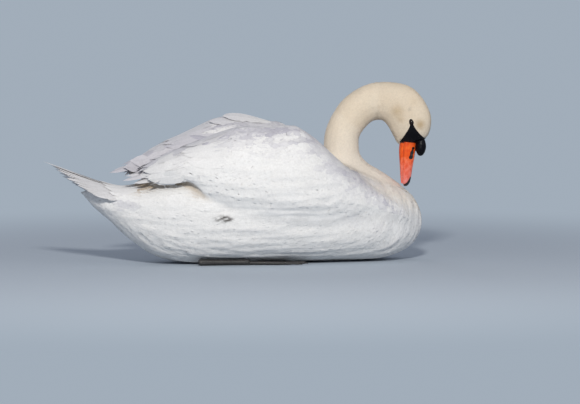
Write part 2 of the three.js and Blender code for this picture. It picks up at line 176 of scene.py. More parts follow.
class Surface:
    """Finds the nearest point of some solids, and which of the solids it is on."""

    def __init__(self, *nodes):
        points, faces, self.owner = [], [], []
        for index, node_name in enumerate(nodes):
            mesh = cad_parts[node_name].data
            start = len(points)
            points.extend(v.co.copy() for v in mesh.vertices)
            faces.extend([start + i for i in p.vertices] for p in mesh.polygons)
            self.owner.extend([index] * len(mesh.polygons))
        self.tree = BVHTree.FromPolygons(points, faces)

    def owners(self, co):
        return np.array([self.owner[self.tree.find_nearest(Vector(p))[2]] for p in co])

    def gaps(self, co):
        return np.array([self.tree.find_nearest(Vector(p))[3] for p in co])


def centre(node_name):
    low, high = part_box(node_name)
    return np.array((low + high) / 2)


# The head's own directions: out along the bill, up towards the culmen and the forehead, and
# to the bird's left. The bill's root is where the upper bill leaves the forehead.
EYE_CENTRES = {name: centre(name) for name in EYES}
head_left = unit(EYE_CENTRES["eye_left"] - EYE_CENTRES["eye_right"])
bill_out = centre("bill_nail") - centre("bill_upper")
bill_out = unit(bill_out - (bill_out @ head_left) * head_left)
bill_up = np.cross(bill_out, head_left)
between_eyes = (EYE_CENTRES["eye_left"] + EYE_CENTRES["eye_right"]) / 2
upper_bill_co = places(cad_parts["bill_upper"].data)
bill_root = between_eyes + ((upper_bill_co - between_eyes) @ bill_out).min() * bill_out
bill_root += ((centre("bill_nail") - bill_root) @ bill_up) * bill_up


def on_head(co):
    """Points as (out, up, left) from the bill's root, in metres."""
    return (co - bill_root) @ np.stack([bill_out, bill_up, head_left], axis=1)


def ramp(low, high, values):
    """0 before low, 1 past high, and a smooth rise between; low may be the greater."""
    t = np.clip((values - low) / (high - low), 0, 1)
    return t * t * (3 - 2 * t)


skin = remesh(joined_copy("plumage_skin", FLESH + EYES, SKIN_SWELL), SKIN_VOXEL)
skin_pairs = edge_pairs(skin.data)
skin_co = evened(skin_pairs, places(skin.data), 6, share=0.5, back=0.5)
skin_count = len(skin_co)
ALL_NODES = FLESH + HORN + EYES
skin_owner = Surface(*ALL_NODES).owners(skin_co)


def belongs(*nodes):
    """1 where the skin lies under one of these solids, and 0 elsewhere."""
    return np.isin(skin_owner, [ALL_NODES.index(n) for n in nodes]).astype(float)


def even_outward(rounds):
    """The skin's outward directions where it lies now, evened out over a few edges."""
    return unit(evened(skin_pairs, outward(skin.data), rounds))


# In front the feathers fill the creases between neck, wing and breast: only hollows rise.
FILL_ROUNDS = 14
FILL_FRONT = (-0.085, -0.03)  # from none to all of the filling, along the bird
FILL_SHARE, FILL_MOST = 1.4, 0.003  # how far one round lifts a hollow
LEAST_HOLLOW = 0.0001
in_front = ramp(*FILL_FRONT, skin_co[:, 0]) * belongs("neck_base", "trunk", *WINGS)
in_front = evened(skin_pairs, in_front, 3)
first_hollow = None
for _ in range(FILL_ROUNDS):
    put_places(skin.data, skin_co)
    away = even_outward(5)
    sunk = np.maximum(((evened(skin_pairs, skin_co, 16) - skin_co) * away).sum(1) - LEAST_HOLLOW, 0)
    first_hollow = sunk if first_hollow is None else first_hollow
    skin_co = skin_co + (in_front * np.minimum(FILL_SHARE * sunk, FILL_MOST))[:, None] * away
put_places(skin.data, skin_co)
skin_outward = even_outward(4)
depth = evened(skin_pairs, np.array([COAT_DEPTH[n] for n in ALL_NODES])[skin_owner], 5)
skin_co = above_floor(skin_co - (depth + SKIN_SWELL)[:, None] * skin_outward)
put_places(skin.data, skin_co)
skin_outward = even_outward(6)

# The lie of the coat is the way that water would run over it from the bill to the tail and
# to the tips of the wings. It is solved from a level that is held at those ends.
FLOW_ROUNDS = 1500
BILL_LEVEL, TAIL_LEVEL, WING_LEVEL, FIRST_GUESS = 0.0, 1.0, 0.86, 0.5
BILL_REACH, TAIL_REACH, WING_REACH = 0.008, 0.03, 0.035  # how far from its end each is held
flow = np.full(skin_count, FIRST_GUESS)
at_bill = (on_head(skin_co)[:, 0] > BILL_REACH) & (belongs("head", *HORN) > 0)
tail_end = skin_co[:, 0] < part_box("trunk")[0].x + TAIL_REACH
wing_end = (skin_co[:, 0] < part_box("wing_right")[0].x + WING_REACH) & (belongs(*WINGS) > 0)
held = at_bill | tail_end | wing_end
flow[at_bill] = BILL_LEVEL
flow[tail_end] = TAIL_LEVEL
flow[wing_end] = WING_LEVEL
degree = np.bincount(skin_pairs.ravel(), minlength=skin_count).astype(float)


def unbalance(values):
    return np.where(held, 0.0, degree * values - gathered(skin_pairs, values, skin_count))


# Conjugate gradients settle the flow.
residual = -unbalance(flow)
search = residual.copy()
strength = residual @ residual
for _ in range(FLOW_ROUNDS):
    pushed = unbalance(search)
    amount = strength / (search @ pushed)
    flow += amount * search
    residual -= amount * pushed
    fresh = residual @ residual
    if fresh < 1e-20:
        break
    search = residual + (fresh / strength) * search
    strength = fresh


def along_skin(ways):
    """Directions with the part that leaves the skin taken away."""
    return ways - (ways * skin_outward).sum(1, keepdims=True) * skin_outward


def uphill(values):
    """The direction in which a value on the skin rises fastest, along the skin."""
    i, j = skin_pairs.T
    step = skin_co[j] - skin_co[i]
    rate = (values[j] - values[i])[:, None] * step / (step**2).sum(1, keepdims=True)
    total = np.zeros((skin_count, 3))
    for k in range(3):
        total[:, k] = np.bincount(i, weights=rate[:, k], minlength=skin_count)
        total[:, k] += np.bincount(j, weights=rate[:, k], minlength=skin_count)
    return along_skin(total)


lie = unit(uphill(flow))
for _ in range(12):
    lie = unit(along_skin(evened(skin_pairs, lie, 2)))


def drawn_out(values, rounds):
    """Values spread along the lie of the coat, and hardly across it: an edge counts by the
    sixth power of how well it follows the lie."""
    i, j = skin_pairs.T
    step = unit(skin_co[j] - skin_co[i])
    near, far = ((step * lie[k]).sum(1) ** 6 + 1e-4 for k in (i, j))
    weight = np.bincount(i, near, skin_count) + np.bincount(j, far, skin_count)
    for _ in range(rounds):
        total = np.bincount(i, near * values[j], skin_count) + np.bincount(j, far * values[i], skin_count)
        values = 0.4 * values + 0.6 * total / weight
    return values


# Soft ripples follow the lie, where the feathers lie in loose locks.
RIPPLE = 0.00075
RIPPLE_SEED = 5
ripple = np.random.default_rng(RIPPLE_SEED).normal(size=skin_count)
ripple = evened(skin_pairs, drawn_out(ripple, 90), 3)
ripple = np.clip(ripple / ripple.std(), -2, 2) * evened(skin_pairs, belongs("trunk", *WINGS), 6)
skin_co = above_floor(skin_co + RIPPLE * ripple[:, None] * skin_outward)
put_places(skin.data, skin_co)
skin_outward = even_outward(3)
put_attribute(skin.data, "lie", lie)
put_attribute(skin.data, "out", skin_outward)
hollow = ((evened(skin_pairs, skin_co, 20) - skin_co) * skin_outward).sum(1)  # over 0 in creases

# Where horn takes over from feathers, the skin draws in to a core inside the bill.
GAPE_UP = -0.0208  # the gape's corner, below which the chin's feathers begin
HORN_OUT = (0.0050, 0.0095)  # where the skin begins to draw in, and has drawn in
CORE = 0.55  # how much of its width and height the core loses
skin_head = on_head(skin_co)
above_gape = belongs("head") * (skin_head[:, 1] > GAPE_UP)
drawn_in = ramp(*HORN_OUT, skin_head[:, 0]) * np.maximum(belongs(*HORN), above_gape)
skin_co = skin_co - (drawn_in * (CORE * skin_head[:, 1] + 0.002))[:, None] * bill_up
skin_co = skin_co - (drawn_in * CORE * skin_head[:, 2])[:, None] * head_left

# Round each eye the skin lies just inside the ball, so that it doesn't show in the opening.
EYE_RADIUS = float((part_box("eye_left")[1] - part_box("eye_left")[0]).z) / 2
EYE_OUT, EYE_UP = 0.0012, 0.0010  # how far each ball is moved from its solid's middle
EYE_DEEPER = 0.0020  # how much deeper it is set in the skull
EYE_CLEAR = 0.0012  # how far the skin lies inside the ball
EYE_SURROUND, EYE_SUNK = 0.013, 0.0046  # how far round the ball its gaze is read, and skin sinks
eye_frames = {}  # middle and gaze of each ball
for eye_name, middle in EYE_CENTRES.items():
    look = unit(skin_outward[np.linalg.norm(skin_co - middle, axis=1) < EYE_SURROUND].mean(0))
    middle = middle + (EYE_OUT * bill_out + EYE_UP * bill_up) - EYE_DEEPER * look
    eye_frames[eye_name] = (middle, look)
    height = (skin_co - middle) @ look
    spread = np.linalg.norm(skin_co - middle - height[:, None] * look, axis=1)
    limit = np.sqrt(np.maximum(EYE_RADIUS**2 - spread**2, 0)) - EYE_CLEAR
    sink = np.where((spread < EYE_SUNK) & (height > 0), np.maximum(height - limit, 0), 0.0)
    skin_co = skin_co - sink[:, None] * look

# The skin of the wings stops short of the quills' ends.
WING_SHORT, WING_SHORTENED = -0.228, 0.50  # from where, and the share of the rest that stays
beyond = np.minimum(skin_co[:, 0] - WING_SHORT, 0) * belongs(*WINGS)
skin_co[:, 0] -= (1 - WING_SHORTENED) * beyond
put_places(skin.data, skin_co)

# Marks on skin and feathers: the cream of the neck and head, warm stains about the face, dark flecks of mud,
# and painted shade and shadow in lavender grey, tan and dark brown. Each runs from 0, none, to 1, full.
along, height = skin_co[:, 0], skin_co[:, 2]
cream = evened(skin_pairs, belongs("head", *NECK, *HORN, *EYES), 10)
neck_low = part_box("neck_middle")[0].z
cream *= 0.62 + 0.38 * ramp(neck_low - 0.05, neck_low + 0.09, height)
neck_gap = Surface("neck_base", "neck_middle").gaps(skin_co)
on_breast = ramp(0.065, 0.0, neck_gap) * ramp(0.17, 0.27, along) * belongs("trunk")
cream = np.maximum(cream, 0.62 * evened(skin_pairs, on_breast, 8))
STAINS = (
    # out, up and left from the bill's root, radius, strength
    (-0.028, 0.022, -0.024, 0.011, 0.80),
    (-0.052, -0.028, -0.028, 0.014, 0.58),
    (-0.036, -0.020, -0.028, 0.009, 0.50),
    (-0.075, 0.006, -0.026, 0.012, 0.26),
    (-0.030, 0.018, 0.024, 0.010, 0.7),
    (-0.046, -0.026, 0.028, 0.010, 0.4),
    (-0.058, 0.012, 0.004, 0.020, 0.35),
)
stain_and_shadow = 0.10 * belongs("head", "neck_upper")
for *spot, radius, strength in STAINS:
    gap = np.linalg.norm(skin_head - spot, axis=1)
    stain_and_shadow = np.maximum(stain_and_shadow, strength * np.exp(-((gap / radius) ** 2)))
# The ear lies under the feathers behind the eye; its hollow is painted as a small dark mark of shade.
EAR_OUT, EAR_UP, EAR_RADIUS = -0.0615, -0.005, 0.0028
ear = np.hypot(skin_head[:, 0] - EAR_OUT, 1.6 * (skin_head[:, 1] - EAR_UP))
painted_ear_shade = np.exp(-((ear / EAR_RADIUS) ** 2)) * (np.abs(skin_head[:, 2]) > 0.015) * belongs("head")
# Painted shadow: the rump just under the wings' edges is painted an olive tan, as their shadow with warm
# light thrown up into it.
over_rump = Surface(*WINGS).gaps(skin_co)
shade_depth = 0.012 + 0.014 * ramp(-0.155, -0.195, along)
painted_wing_shadow = ramp(1.0, 0.4, over_rump / shade_depth) * belongs("trunk") * ramp(-0.11, -0.15, along)
painted_wing_shadow = evened(skin_pairs, painted_wing_shadow * ramp(-0.33, -0.26, along), 4)
# The stain mark also carries the painted shadow under the wings.
stain_and_shadow = np.maximum(stain_and_shadow, painted_wing_shadow)
# Painted shade in lavender grey lies on the upward-facing parts of the wings and their upper ends, in the
# creases in front, and on a patch under the right wing's end.
on_wings = belongs(*WINGS)
wing_or_trunk = np.maximum(on_wings, belongs("trunk"))
UNSHADED_BELOW = 0.09  # the height under which no shade is painted in the creases in front
painted_ridge_shade = ramp(0.35, 0.85, skin_outward[:, 2]) * on_wings * (0.58 + 0.14 * ripple)
painted_front_shade = ramp(0.0001, 0.0012, evened(skin_pairs, first_hollow, 7)) * ramp(0.13, 0.19, along)
painted_front_shade = evened(skin_pairs, painted_front_shade * wing_or_trunk, 4) * 0.95
painted_wing_end_shade = 0.5 * ramp(-0.19, -0.24, along) * ramp(0.185, 0.20, height) * on_wings
SHADE_PATCH, SHADE_PATCH_SIZE = (-0.270, -0.085, 0.125), (0.026, 0.06, 0.012)
painted_shade_patch = 0.4 * ramp(1.2, 0.7, np.linalg.norm((skin_co - SHADE_PATCH) / SHADE_PATCH_SIZE, axis=1))
dusk = np.maximum.reduce([
    0.1 * painted_ear_shade, 0.22 * painted_wing_shadow, painted_ridge_shade, painted_front_shade * (height > UNSHADED_BELOW), painted_wing_end_shade, painted_shade_patch,
])
# Painted shade also follows the ripples on the wings and trunk.
dusk = np.clip(dusk + 0.05 * ripple * wing_or_trunk, 0, 1)
# A few feathers on the right flank, behind the leg, are muddied. The same dark brown is painted as shade in
# the crease at the neck's foot, in the ear and in the wings' shadow on the rump.
MUD_PATCH, MUD_SIZE = (-0.095, -0.13, 0.103), (0.021, 0.05, 0.0085)
strokes = np.sin(430 * along + 240 * height) + np.sin(710 * height - 290 * along)
from_mud = np.linalg.norm((skin_co - MUD_PATCH) / MUD_SIZE, axis=1)
flank_mud = ramp(-0.7, 0.1, strokes) * ramp(1.15, 0.6, from_mud)
painted_neck_shade = evened(skin_pairs, ramp(0.0003, 0.0011, first_hollow) * ramp(0.10, 0.16, along), 2)
mud = np.maximum.reduce([
    flank_mud, 0.26 * painted_wing_shadow, 0.55 * painted_ear_shade, 0.20 * painted_neck_shade * (height > UNSHADED_BELOW),
])
for mark, values in (("mud", mud), ("cream", cream), ("stain_and_shadow", stain_and_shadow), ("dusk", dusk)):
    put_attribute(skin.data, mark, values)

bpy.context.view_layer.objects.active = skin
skin.select_set(True)
bpy.ops.object.mode_set(mode="EDIT")
bpy.ops.mesh.select_all(action="SELECT")
bpy.ops.uv.smart_project(angle_limit=math.radians(66), island_margin=0.002)
bpy.ops.object.mode_set(mode="OBJECT")
skin.data.uv_layers[0].name = "OFBake"


def wire(tree, kind, inputs=(), **settings):
    """A node with its settings, each of its inputs a value or another node's output."""
    made = tree.nodes.new(kind)
    for setting, value in settings.items():
        setattr(made, setting, value)
    for key, value in dict(inputs).items():
        if isinstance(value, bpy.types.NodeSocket):
            tree.links.new(value, made.inputs[key])
        else:
            made.inputs[key].default_value = value
    return made


def sums(tree, operation, *values, clamp=False):
    return wire(tree, "ShaderNodeMath", enumerate(values), operation=operation, use_clamp=clamp).outputs[0]


def vectors(tree, operation, *values, output="Vector"):
    return wire(tree, "ShaderNodeVectorMath", enumerate(values), operation=operation).outputs[output]


def mixed(tree, share, first, second, blend="MIX"):
    sockets = {0: share, 6: first, 7: second}
    return wire(tree, "ShaderNodeMix", sockets, data_type="RGBA", blend_type=blend).outputs[2]


def between(tree, share, first, second):
    """A vector that is a share of the way from the first to the second."""
    return wire(tree, "ShaderNodeMix", {0: share, 4: first, 5: second}, data_type="VECTOR").outputs[1]


def ranged(tree, value, low, high, start=0.0, end=1.0, curve="LINEAR"):
    """start where the value is low, end where it is high, and nothing beyond them."""
    sockets = {0: value, 1: low, 2: high, 3: start, 4: end}
    return wire(tree, "ShaderNodeMapRange", sockets, interpolation_type=curve).outputs[0]


def noise(tree, place, scale, detail=2.0):
    return wire(tree, "ShaderNodeTexNoise", {"Vector": place, "Scale": scale, "Detail": detail}).outputs[0]


def cells(tree, place, scale):
    return wire(tree, "ShaderNodeTexVoronoi", {"Vector": place, "Scale": scale}).outputs[0]


def raised(tree, height, strength, distance, **more):
    """The normal of a surface with fine relief; distance is the relief's depth in metres."""
    sockets = {"Height": height, "Strength": strength, "Distance": distance, **more}
    return wire(tree, "ShaderNodeBump", sockets).outputs[0]


def object_place(tree):
    return wire(tree, "ShaderNodeTexCoord").outputs["Object"]


def attribute(tree, name, output="Fac"):
    return wire(tree, "ShaderNodeAttribute", attribute_name=name).outputs[output]


def shaded(tree, colour, share):
    """A colour made darker or lighter by a share."""
    grey = wire(tree, "ShaderNodeCombineXYZ", {k: share for k in range(3)}).outputs[0]
    return mixed(tree, 1.0, colour, grey, "MULTIPLY")


def painted(name, roughness, **constants):
    """A material with its Principled shader, whose steady values are set on its sockets."""
    material = bpy.data.materials.new(name)
    material.use_nodes = True
    shader = material.node_tree.nodes["Principled BSDF"]
    for key, value in {"Roughness": roughness, **constants}.items():
        shader.inputs[key.replace("_", " ")].default_value = value
    return material, material.node_tree, shader


def feed(tree, shader, **changing):
    """What changes over the surface is linked to the shader."""
    for key, value in changing.items():
        tree.links.new(value, shader.inputs[key.replace("_", " ")])


def dressed(made, finish, slot, nodes=()):
    """Give a finished piece its material, its body and the solids that it stands for."""
    made.data.materials.clear()
    made.data.materials.append(finish)
    made.data.shade_smooth()
    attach(made, "root")
    if nodes:
        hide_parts(*nodes)


MARKS = ("Cream", "Stain_and_shadow", "Dusk", "Mud")
WHITE = ((0.80, 0.79, 0.775, 1), (0.87, 0.87, 0.865, 1))
CREAM = ((0.71, 0.60, 0.46, 1), (0.81, 0.725, 0.60, 1))
# Tan for stains and painted shadow, lavender grey for painted shade, dark brown for mud and painted shade.
STAIN_AND_SHADOW_TAN, DUSKY, MUD_AND_SHADE_BROWN = (0.48, 0.34, 0.17, 1), (0.50, 0.49, 0.55, 1), (0.055, 0.045, 0.038, 1)


def feather_colour_group():
    """Colour of plumage: white, cream, stained and muddied, with painted shade and shadow in lavender grey,
    tan and dark brown.
    """
    tree = bpy.data.node_groups.new("feather colour", "ShaderNodeTree")
    for key in MARKS:
        tree.interface.new_socket(key, in_out="INPUT", socket_type="NodeSocketFloat")
    tree.interface.new_socket("Place", in_out="INPUT", socket_type="NodeSocketVector")
    tree.interface.new_socket("Color", in_out="OUTPUT", socket_type="NodeSocketColor")
    given = tree.nodes.new("NodeGroupInput").outputs
    patch = noise(tree, given["Place"], 22.0, 3.0)
    fine = noise(tree, given["Place"], 260.0, 2.0)
    colour = mixed(tree, given["Cream"], mixed(tree, patch, *WHITE), mixed(tree, patch, *CREAM))
    for key, marked in (("Stain_and_shadow", STAIN_AND_SHADOW_TAN), ("Dusk", DUSKY), ("Mud", MUD_AND_SHADE_BROWN)):
        colour = mixed(tree, given[key], colour, marked)
    colour = shaded(tree, colour, ranged(tree, fine, 0.3, 0.7, 0.94, 1.03))
    result = tree.nodes.new("NodeGroupOutput")
    tree.links.new(colour, result.inputs[0])
    return tree


feather_colour = feather_colour_group()


def plumage_colour(tree, place):
    """The plumage's colour with the marks that the mesh carries."""
    marks = {key: attribute(tree, key.lower()) for key in MARKS}
    return wire(tree, "ShaderNodeGroup", {"Place": place, **marks}, node_tree=feather_colour).outputs[0]


skin_finish, down_tree, down_shader = painted("swan skin and down", 0.85)
down_place = object_place(down_tree)
feed(
    down_tree, down_shader, Base_Color=plumage_colour(down_tree, down_place),
    Normal=raised(down_tree, noise(down_tree, down_place, 420.0, 3.0), 0.4, 0.0006),
)
dressed(skin, skin_finish, "plumage_white", FLESH)

# ---------------------------------------------------------------- the contour feathers
# Thousands of small feathers cover the bird like tiles, each rooted in the skin with its tip
# on the backs of the next ones. They are loose-edged vanes, bristle-fine on the face, like
# velvet on the neck, and as long as a finger joint on the body.


def vane_faces(grid, keels):
    """The corners of a vane's faces: first its top, then the two halves of its underside,
    which meet in a keel and share the top's rim."""
    middle = len(grid[0]) // 2
    corners = []
    for near, far in zip(grid, grid[1:]):
        corners.extend((near[c], near[c + 1], far[c + 1], far[c]) for c in range(len(near) - 1))
    halves = [([row[0], keel], [keel, row[-1]]) for row, keel in zip(grid[1:-1], keels)]
    first, last = ((row[:middle + 1], row[middle:]) for row in (grid[0], grid[-1]))
    halves = [first, *halves, last]
    for near, far in zip(halves, halves[1:]):
        corners.extend((*far[part], *near[part][::-1]) for part in range(2))
    return corners


VANE_SWEEP, VANE_CURL = 0.10, 0.16  # how far the edges lag at the tip, and lie lower


def vane_blank(name, rows, columns, ragged, rng):
    """A unit feather in the XY plane: a top and an underside that share their rim."""
    last = len(rows) - 1
    made = bmesh.new()
    local = made.verts.layers.float_vector.new("vane")
    shell = made.verts.layers.float.new("shell")
    fray = rng.uniform(-ragged, ragged, (len(rows), columns))
    top = []
    for r, (along_vane, half) in enumerate(rows):
        row = []
        for c in range(columns):
            across = 2 * c / (columns - 1) - 1
            rounding = VANE_SWEEP * across**2 * ramp(0.5, 1.0, along_vane)
            y = along_vane - rounding + (fray[r, c] if r > 1 else 0)
            x = 0.5 * half * across * (1 + 0.5 * fray[r, (c * 2) % columns])
            v = made.verts.new((x, y, 0))
            v[local] = (across * half, y, y - VANE_CURL * across**2)
            v[shell] = 0.0 if r in (0, last) or c in (0, columns - 1) else 1.0
            row.append(v)
        top.append(row)
    keels = []
    for row in top[1:-1]:
        v = made.verts.new((0, row[columns // 2].co.y, 0))
        v[local] = row[columns // 2][local]
        v[shell] = -5.0  # the underside hangs well clear of the top
        keels.append(v)
    for corners in vane_faces(top, keels):
        made.faces.new(corners)
    bmesh.ops.triangulate(made, faces=[f for f in made.faces if len(f.verts) > 4])
    for face in made.faces:
        face.smooth = True
    for edge in made.edges:
        edge.smooth = not all(v[shell] == 0.0 for v in edge.verts)
    return bpy.data.objects.new(name, mesh_of(made, name))


SHELL_HEIGHT = 0.00012  # how far the top stands over the rim
SUNK = 0.00015  # how deep a feather's root lies in the skin
FREE_GAP = (0.032, 0.046)  # a feather this far from the skin runs straight on
FREE_TURN = (0.10, 0.45)  # so does one over skin that turns away: the turn's cosine
ROOT_PATCH = (0.0012, 0.003, 0.0)  # a feather's size on the colour map


def coat_tree():
    """Feathers over a skin: scattered, laid along the lie, and bent down onto the surface."""
    tree = bpy.data.node_groups.new("laid feathers", "GeometryNodeTree")
    sockets = {}
    for name, kind in (
        ("Skin", "Geometry"), ("Blanks", "Collection"), ("Spacing", "Float"), ("Length", "Float"),
        ("Width", "Float"), ("Lift", "Float"), ("Stray", "Float"), ("Finish", "Material"), ("Seed", "Int"),
    ):
        socket = tree.interface.new_socket(name, in_out="INPUT", socket_type="NodeSocket" + kind)
        sockets[name] = socket.identifier
    tree.interface.new_socket("Coat", in_out="OUTPUT", socket_type="NodeSocketGeometry")
    given = tree.nodes.new("NodeGroupInput").outputs

    def named(name, kind="FLOAT"):
        return wire(tree, "GeometryNodeInputNamedAttribute", {"Name": name}, data_type=kind).outputs[0]

    def stray(low, high, offset):
        seed = wire(tree, "FunctionNodeIntegerMath", {0: given["Seed"], 1: offset}, operation="ADD")
        inputs = {2: low, 3: high, "Seed": seed.outputs[0]}
        return wire(tree, "FunctionNodeRandomValue", inputs, data_type="FLOAT").outputs[1]

    def store(geometry, name, value, kind, domain="POINT"):
        inputs = {"Geometry": geometry, "Name": name, "Value": value}
        made = wire(tree, "GeometryNodeStoreNamedAttribute", inputs, data_type=kind, domain=domain)
        return made.outputs[0]

    def at_skin(value, kind="FLOAT"):
        inputs = {"Mesh": given["Skin"], "Value": value}
        return wire(tree, "GeometryNodeSampleNearestSurface", inputs, data_type=kind).outputs[0]

    density = sums(tree, "DIVIDE", 4.0, sums(tree, "MULTIPLY", given["Spacing"], given["Spacing"]))
    scattered = wire(
        tree, "GeometryNodeDistributePointsOnFaces",
        {"Mesh": given["Skin"], "Distance Min": given["Spacing"], "Density Max": density,
         "Density Factor": named("bed"), "Seed": given["Seed"]},
        distribute_method="POISSON",
    )
    root = named("OFBake", "FLOAT_VECTOR")
    points = store(scattered.outputs["Points"], "root", root, "FLOAT_VECTOR")
    points = store(points, "lifted", sums(tree, "MULTIPLY", given["Lift"], stray(0.8, 1.15, 1)), "FLOAT")
    laid = wire(
        tree, "FunctionNodeAxesToRotation",
        {"Primary Axis": named("out", "FLOAT_VECTOR"), "Secondary Axis": named("lie", "FLOAT_VECTOR")},
        primary_axis="Z", secondary_axis="Y",
    )
    spread = sums(tree, "MULTIPLY", given["Stray"], stray(-1.0, 1.0, 2))
    swing = wire(tree, "ShaderNodeCombineXYZ", {2: spread})
    turn = wire(tree, "FunctionNodeEulerToRotation", {0: swing.outputs[0]})
    turned = wire(
        tree, "FunctionNodeRotateRotation", {0: laid.outputs[0], 1: turn.outputs[0]}, rotation_space="LOCAL",
    )
    grown = sums(tree, "MULTIPLY", named("grown"), stray(0.76, 1.24, 3))
    wide, long = (sums(tree, "MULTIPLY", grown, given[key]) for key in ("Width", "Length"))
    size = wire(tree, "ShaderNodeCombineXYZ", {0: wide, 1: long, 2: 1.0})
    blanks = wire(
        tree, "GeometryNodeCollectionInfo",
        {"Collection": given["Blanks"], "Separate Children": True, "Reset Children": True},
    )
    instanced = wire(
        tree, "GeometryNodeInstanceOnPoints",
        {"Points": points, "Instance": blanks.outputs[0], "Pick Instance": True,
         "Rotation": turned.outputs[0], "Scale": size.outputs[0]},
    )
    real = wire(tree, "GeometryNodeRealizeInstances", {0: instanced.outputs[0]}).outputs[0]

    # Each point drops to the skin and rises by its share of the feather's lift. Where the
    # skin falls away the feather runs straight on instead.
    here = wire(tree, "GeometryNodeInputPosition").outputs[0]
    foot = at_skin(here, "FLOAT_VECTOR")
    out = at_skin(named("out", "FLOAT_VECTOR"), "FLOAT_VECTOR")
    rise = wire(tree, "ShaderNodeSeparateXYZ", {0: named("vane", "FLOAT_VECTOR")}).outputs[2]
    height = sums(tree, "MULTIPLY", rise, named("lifted"))
    height = sums(tree, "ADD", height, sums(tree, "MULTIPLY", named("shell"), SHELL_HEIGHT))
    height = sums(tree, "SUBTRACT", height, SUNK)
    away = wire(tree, "ShaderNodeVectorMath", {0: out, "Scale": height}, operation="SCALE").outputs[0]
    far_off = ranged(tree, vectors(tree, "DISTANCE", here, foot, output="Value"), *FREE_GAP)
    agree = vectors(tree, "DOT_PRODUCT", out, named("out", "FLOAT_VECTOR"), output="Value")
    free = sums(tree, "MAXIMUM", far_off, ranged(tree, agree, *FREE_TURN, 1.0, 0.0))
    bent = between(tree, free, vectors(tree, "ADD", foot, away), vectors(tree, "ADD", here, away))
    coat = store(real, "mud", at_skin(named("mud")), "FLOAT")
    coat = store(coat, "form", out, "FLOAT_VECTOR")
    coat = wire(tree, "GeometryNodeSetPosition", {"Geometry": coat, "Position": bent}).outputs[0]
    patch = vectors(tree, "MULTIPLY", named("vane", "FLOAT_VECTOR"), ROOT_PATCH)
    patch = vectors(tree, "ADD", named("root", "FLOAT_VECTOR"), patch)
    coat = store(coat, "OFBake", patch, "FLOAT2", "CORNER")
    dressed = wire(tree, "GeometryNodeSetMaterial", {"Geometry": coat, "Material": given["Finish"]})
    result = tree.nodes.new("NodeGroupOutput")
    tree.links.new(dressed.outputs[0], result.inputs[0])
    return tree, sockets


laid_feathers, coat_sockets = coat_tree()


def grow_coat(part, bed, grown, kind, stray, seed, finish):
    """One piece of the coat, over the part of the skin where bed is 1. A kind of feather is
    its blanks, the spacing of the roots, and its length, width and lift."""
    mesh = skin.data.copy()
    put_attribute(mesh, "bed", bed)
    put_attribute(mesh, "grown", grown)
    coat = linked("coat_" + part, mesh)
    change = coat.modifiers.new("feathers", "NODES")
    change.node_group = laid_feathers
    given = zip(("Blanks", "Spacing", "Length", "Width", "Lift"), kind)
    for key, value in {**dict(given), "Stray": stray, "Finish": finish, "Seed": seed}.items():
        change[coat_sockets[key]] = value
    bake_modifiers(coat)
    put_places(coat.data, above_floor(places(coat.data)))
    for spare in ("bed", "grown", "lie", "out", "root", "lifted", "shell"):
        held = coat.data.attributes.get(spare)
        if held:
            coat.data.attributes.remove(held)
    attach(coat, "root")


def blanks_of(name, rows, columns, ragged, count, seed):
    """A collection of unit feathers with uneven edges; rows are (along, width)."""
    rng = np.random.default_rng(seed)
    held = bpy.data.collections.new(name)
    for k in range(count):
        held.objects.link(vane_blank(f"{name}_{k}", rows, columns, ragged, rng))
    return held


BODY_ROWS = ((0, 0.3), (0.36, 0.9), (0.66, 1.0), (0.88, 0.78), (1.0, 0.40))
NECK_ROWS = ((0, 0.35), (0.42, 0.95), (0.78, 0.75), (1.0, 0.16))
COVERT_ROWS = ((0, 0.3), (0.3, 0.86), (0.58, 1.0), (0.80, 0.93), (0.93, 0.68), (1.0, 0.30))
FACE_ROWS = ((0, 0.4), (0.5, 1.0), (1.0, 0.16))
BODY_KIND = (blanks_of("body_vane", BODY_ROWS, 5, 0.08, 10, 11), 0.0050, 0.034, 0.0090, 0.0007)
NECK_KIND = (blanks_of("neck_vane", NECK_ROWS, 3, 0.05, 4, 12), 0.0024, 0.016, 0.0046, 0.0015)
COVERT_KIND = (blanks_of("covert_vane", COVERT_ROWS, 7, 0.025, 8, 14), 0.0070, 0.040, 0.0165, 0.0007)
FACE_KIND = (blanks_of("face_vane", FACE_ROWS, 3, 0.04, 3, 13), 0.00155, 0.0078, 0.0027, 0.0015)

# Bare black skin runs from the eye to the bill's root. It is a narrow strip under the eye
# that flares towards the gape on one side and towards the knob on the other.
BARE_START = -0.0290
BAND_OUT = 0.0100  # how far the black runs out over the bill's root
GAPE_START, GAPE_OUT = -0.026, 0.0114  # where its lower edge begins to fall, and ends
KNOB_START, KNOB_TOP_OUT = -0.028, -0.0015  # where its upper edge begins to rise, and ends
STRIP_UP, KNOB_RISE = 0.0085, 0.0235


def bareness(out, up):
    """About the metres inside the edges of the bare skin, and less than 0 outside them."""
    to_gape = np.clip((out - GAPE_START) / (GAPE_OUT - GAPE_START), 0, 1)
    to_knob = np.clip((out - KNOB_START) / (KNOB_TOP_OUT - KNOB_START), 0, 1.2)
    lower_edge = GAPE_UP * to_gape**1.3
    upper_edge = STRIP_UP + KNOB_RISE * to_knob**1.25
    return np.minimum.reduce([up - lower_edge, upper_edge - up, out - BARE_START])


